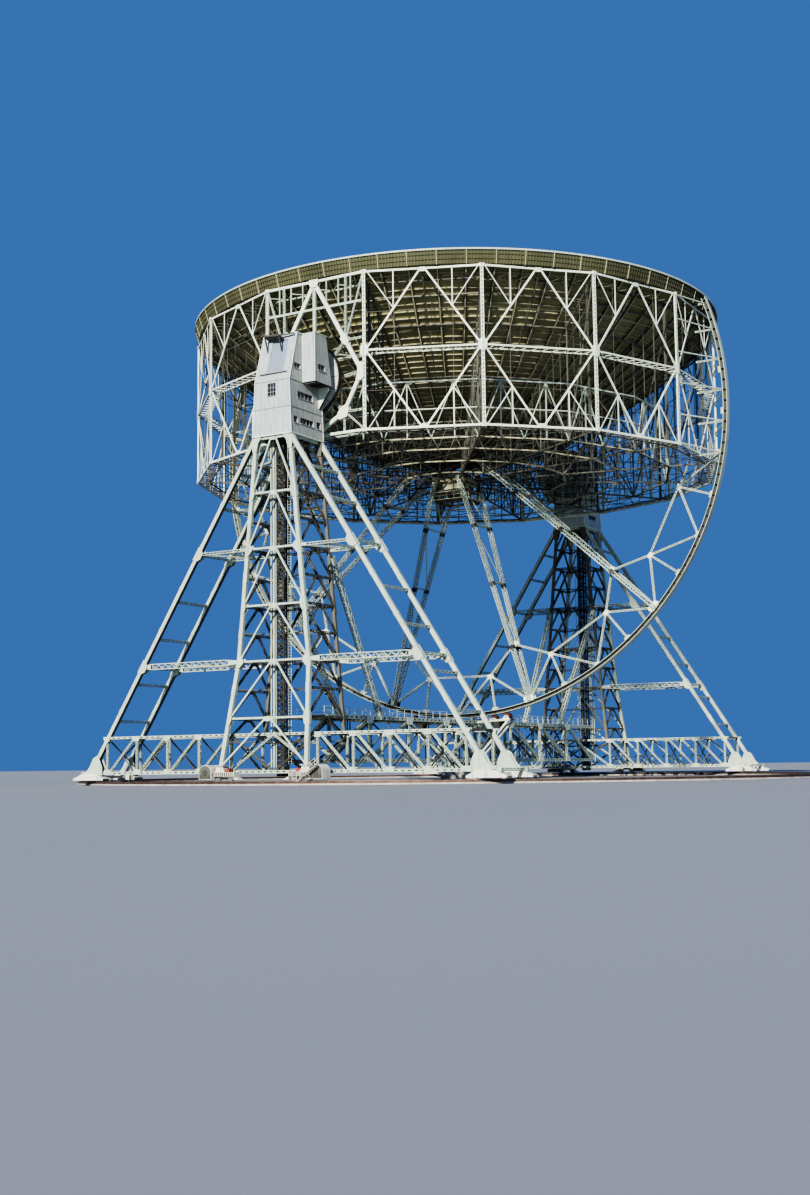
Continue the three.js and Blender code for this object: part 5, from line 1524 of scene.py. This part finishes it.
def link():
    p = Piece(400)
    step, end = 2 * INNER_X / LINK_PANELS, INNER_X - 0.4
    along = [-INNER_X + i * step for i in range(LINK_PANELS + 1)]
    deck = LINK_TOP + 0.22
    # Middle posts, plan bracing, cross frames and the pivot boss take SHADED, the dark copy of the paint:
    # painted shade
    for sign in (-1, 1):
        y = sign * LINK_Y
        for z, width, gap, edge in ((LINK_TOP, 0.5, 0.4, 0.16), (LINK_BOTTOM, 0.46, 0.45, 0.15)):
            p.battened(vec(-end, y, z), vec(end, y, z), width, 0.42, EY, pitch=1.1, gap=gap, edge=edge)
        for x in along[1:-1]:
            foot, head = vec(x, y, LINK_BOTTOM), vec(x, y, LINK_TOP)
            p.laced(foot, head, 0.36, 0.34, EY, pitch=0.55, edge=0.1, flat=0.07)
            for centre, way in ((head, -1), (foot, 1)):
                shape = [(-0.95, -0.22 * way), (0.95, -0.22 * way), (0.6, 0.7 * way), (-0.6, 0.7 * way)]
                gusset(p, centre, EX, UP, EY, shape, 0.04, 2, 0.15, (-0.23, 0.23))
        for i, (x0, x1) in enumerate(zip(along[:-1], along[1:])):
            top, foot = (x1, x0) if i < LINK_PANELS / 2 else (x0, x1)
            a, b = vec(top, y, LINK_TOP), vec(foot, y, LINK_BOTTOM)
            p.laced(a, b, 0.4, 0.34, EY, pitch=0.62, edge=0.1, flat=0.07)
            middle = (x0 + x1) / 2
            p.bars(vec(middle, y, LINK_TOP), vec(middle, y, LINK_BOTTOM), square(0.12), EY, 1)
        for side in (-1, 1):
            a, b = tower_point(side, 39.5, sign * 4.0, 27.3), tower_point(side, 26.8, sign * 3.0, 8.1)
            p.laced(a, b, 0.66, 0.6, EY, pitch=0.7, edge=0.13, flat=0.08, plate=1.0)
        # Handrails on the deck
        rail_y = sign * (LINK_Y - 0.35)
        for x0, x1 in ((-end, -8.5), (8.5, end)):
            for z in (0.55, 1.05):
                p.bars(vec(x0, rail_y, deck + z), vec(x1, rail_y, deck + z), square(0.05), EY, 2, 0.3)
            feet = np.array([vec(x, rail_y, LINK_TOP + 0.2) for x in np.arange(x0, x1 + 0.1, 1.9)])
            p.bars(feet, feet + UP * 1.08, square(0.05), EY, 2, 0.3)
    for i in range(LINK_PANELS):
        y = LINK_Y if i % 2 else -LINK_Y
        for z in (LINK_TOP, LINK_BOTTOM):
            a, b = vec(along[i], -y, z), vec(along[i + 1], y, z)
            p.laced(a, b, 0.26, 0.22, UP, pitch=0.7, look=1, faces=2)
    for x in along[1:-1]:
        corners = [vec(x, y, z) for z in (LINK_TOP, LINK_BOTTOM) for y in (-LINK_Y, LINK_Y)]
        for a, b in (corners[:2], corners[2:]):
            p.laced(a, b, 0.34, 0.3, EX, pitch=0.55, edge=0.1, flat=0.06, look=1)
        p.bars(corners[:2], corners[:1:-1], rectangle(0.16, 0.14), EX, 1)
    for x0, x1 in ((-39.2, -0.9), (0.9, 39.2)):
        for y in np.arange(-2.35, 2.4, 0.52):
            p.bars(vec(x0, y, LINK_TOP + 0.16), vec(x1, y, LINK_TOP + 0.16), rectangle(0.46, 0.06), UP, 3)
    # Boss over the pivot
    boss = [[0.72, 1.62], [1.3, 1.62], [1.3, 2.9], [1.0, 3.1], [0.0, 3.1], [0.0, 2.3], [0.72, 2.3]]
    p.revolve(boss, 36, 1, shade=0.3)
    a, b = vec(0, -LINK_Y, LINK_BOTTOM), vec(0, LINK_Y, LINK_BOTTOM)
    p.bars(a, b, chamfered(0.66, 0.56, 0.05), UP, 0, 0.3)
    for turn in full_turn(8) + 0.39:
        outline = [ray_point(turn, r, z) for r, z in ((1.25, 1.65), (1.75, 1.65), (1.25, 2.7))]
        p.slab(outline, tangent(turn) * 0.08, 1, 0.4)
    return p.finish("link_girder", "turntable", "lattice", ["diametral_girder"], [PALE, SHADED, WHITE, DARK])


def rollers():
    p = Piece(401)
    sill, radius = LINK_TOP + 0.26, 0.6
    p.box(vec(-0.5, -8.4, sill), vec(0.5, 8.4, sill + 0.15), 1, 0.4)
    half = [[0.52, 0.46], [0.58, 0.4], [radius, 0.3]]
    outline = [[0.0, -0.46], *([r, -z] for r, z in half), *half[::-1], [0.0, 0.46]]
    for sign in (-1, 1):
        for degrees in (7.6, 10.4):
            centre = wheel_point(sign * degrees, WHEEL_R + 0.3 + radius + 0.06)
            place = lying(1, *centre)
            p.revolve(outline, 36, 0, place=place, shade=0.3)
            p.revolve(band(0.0, 0.16, -0.62, 0.62), 20, 3, place=place, shade=0.3)
            head = centre[2] + 0.2
            cheek = ((-0.6, sill), (0.6, sill), (0.22, head), (-0.22, head))
            for x in (-0.56, 0.56):
                p.slab([vec(x, centre[1] + u, v) for u, v in cheek], EX * 0.1, 2, 0.2)
        p.box(vec(-0.9, sign * 6.2 - 0.4, LINK_TOP - 0.9), vec(0.9, sign * 6.2 + 0.4, sill), 1, 0.3)
        for x in (-0.8, 0.8):
            p.bars(vec(x, sign * 3.0, LINK_TOP), vec(x, sign * 8.3, sill), square(0.3), UP, 2, 0.3)
            foot = vec(x, sign * 3.1, LINK_BOTTOM + 0.4)
            p.bars(foot, vec(x, sign * 7.9, LINK_TOP), rectangle(0.3, 0.28), EX, 2, 0.3)
    return p.finish("roller_carriage", "turntable", "dark_lattice", ["ring_rollers"],
                    [ROLLER, DARK, WHITE, BRIGHT])


link()
rollers()


# Track and pivot


def rail(name, node, radius):
    """A rail of foot, web and head on a concrete plinth, with a row of clips at each side."""
    p = Piece(410)
    halves = (
        (0, [(0.24, 0.0), (0.24, 0.17), (0.2, 0.2)]),
        (1, [(0.17, 0.2), (0.17, 0.23), (0.05, 0.26), (0.05, 0.35), (0.1, 0.37), (0.1, 0.44)]),
        (2, [(0.09, 0.44), (0.085, 0.45)]),
    )
    for look, half in halves:
        outline = [[radius - half[0][0], half[0][1]]] + [[radius + w, z] for w, z in half]
        outline += [[radius - w, z] for w, z in half[:0:-1]]
        p.revolve(outline, 240, look, shade=0.4)
    turn = full_turn(int(radius * 2 * math.pi / 0.9))
    radial = np.stack([np.cos(turn), np.sin(turn), 0 * turn], axis=1)
    for shift in (-0.16, 0.16):
        base = radial * (radius + shift)
        p.bars(base + UP * 0.19, base + UP * 0.27, rectangle(0.09, 0.16), radial, 1)
    return p.finish(name, "track", "rail", [node], [CONCRETE, RUSTY, BRIGHT])


def pivot():
    p = Piece(415)
    block = [[0.0, 0.0], [3.0, 0.0], [3.0, 0.55], [2.9, 0.65],
             [2.4, 0.65], [2.4, 1.1], [2.3, 1.2], [0.0, 1.2]]
    p.revolve(block, 64, 0, shade=0.4)
    bearing = [[0.0, 1.2], [1.7, 1.2], [1.7, 1.35], [1.35, 1.42], [1.35, 1.58], [0.0, 1.58]]
    p.revolve(bearing, 48, 1, shade=0.3)
    p.revolve(band(0.0, 0.68, 1.5, 2.2), 32, 2, shade=0.3)
    for turn in full_turn(24):
        p.bars(ray_point(turn, 1.55, 1.33), ray_point(turn, 1.55, 1.43), circle(0.06, 6), EX, 2)
    return p.finish("pivot_block", "track", "pivot", ["pivot_base"], [CONCRETE, RUSTY, BRIGHT])


rail("outer_track", "outer_rail", OUTER_RAIL_R)
rail("inner_track", "inner_rail", INNER_RAIL_R)
pivot()


# Floor, light and camera


def floor():
    mesh = bpy.data.meshes.new("floor")
    size, depth = 400.0, -0.003
    corners = [(x * size, y * size, depth) for x, y in ((-1, -1), (1, -1), (1, 1), (-1, 1))]
    mesh.from_pydata(corners, [], [(0, 1, 2, 3)])
    n = Nodes("floor_paint")
    tone = n.blend(n.noise(0.25, 2.0), (0.36, 0.36, 0.34), (0.39, 0.39, 0.37))
    mesh.materials.append(n.finish(tone, 0.9))
    obj = bpy.data.objects.new("floor", mesh)
    bpy.context.scene.collection.objects.link(obj)


def lamp(name, kind, energy, direction, color, angle=None):
    light = bpy.data.lights.new(name, kind)
    light.energy, light.color = energy, color
    if angle is not None:
        light.angle = math.radians(angle)
    obj = bpy.data.objects.new(name, light)
    bpy.context.scene.collection.objects.link(obj)
    obj.rotation_mode = "QUATERNION"
    obj.rotation_quaternion = Vector(direction).to_track_quat("Z", "Y")
    return obj


floor()
lamp("key", "SUN", 4.6, (-0.902, -0.175, 0.391), (1.0, 0.95, 0.86), 3)
lamp("fill", "SUN", 0.12, (-0.5, -0.8, 0.35), (0.8, 0.88, 1.0), 60)

world = bpy.data.worlds.new("studio")
world.use_nodes = True
world.node_tree.nodes["Background"].inputs["Color"].default_value = (0.12, 0.26, 0.63, 1.0)
world.node_tree.nodes["Background"].inputs["Strength"].default_value = 0.62
scene = bpy.context.scene
scene.world = world
scene.view_settings.view_transform = "AgX"
scene.view_settings.look = "AgX - Very High Contrast"

# The camera stands where the photograph was taken, fitted to the full-size structure
YAW, PITCH, ROLL = 30.658, 6.217, -0.66
camera = bpy.data.cameras.new("camera")
camera.lens, camera.sensor_width = 45.30, 36.0
camera.shift_x, camera.shift_y = 0.00126, 0.00418
camera.clip_start, camera.clip_end = 0.1, 600.0
eye = bpy.data.objects.new("camera", camera)
scene.collection.objects.link(eye)
yaw, pitch = math.radians(YAW), math.radians(PITCH)
ahead = Vector((math.cos(pitch) * math.cos(yaw), math.cos(pitch) * math.sin(yaw), math.sin(pitch)))
turned = ahead.to_track_quat("-Z", "Y").to_matrix() @ Matrix.Rotation(math.radians(ROLL), 3, "Z")
eye.matrix_world = Matrix.Translation(Vector((-190.85, -103.78, 1.96)) * SCALE) @ turned.to_4x4()
scene.camera = eye
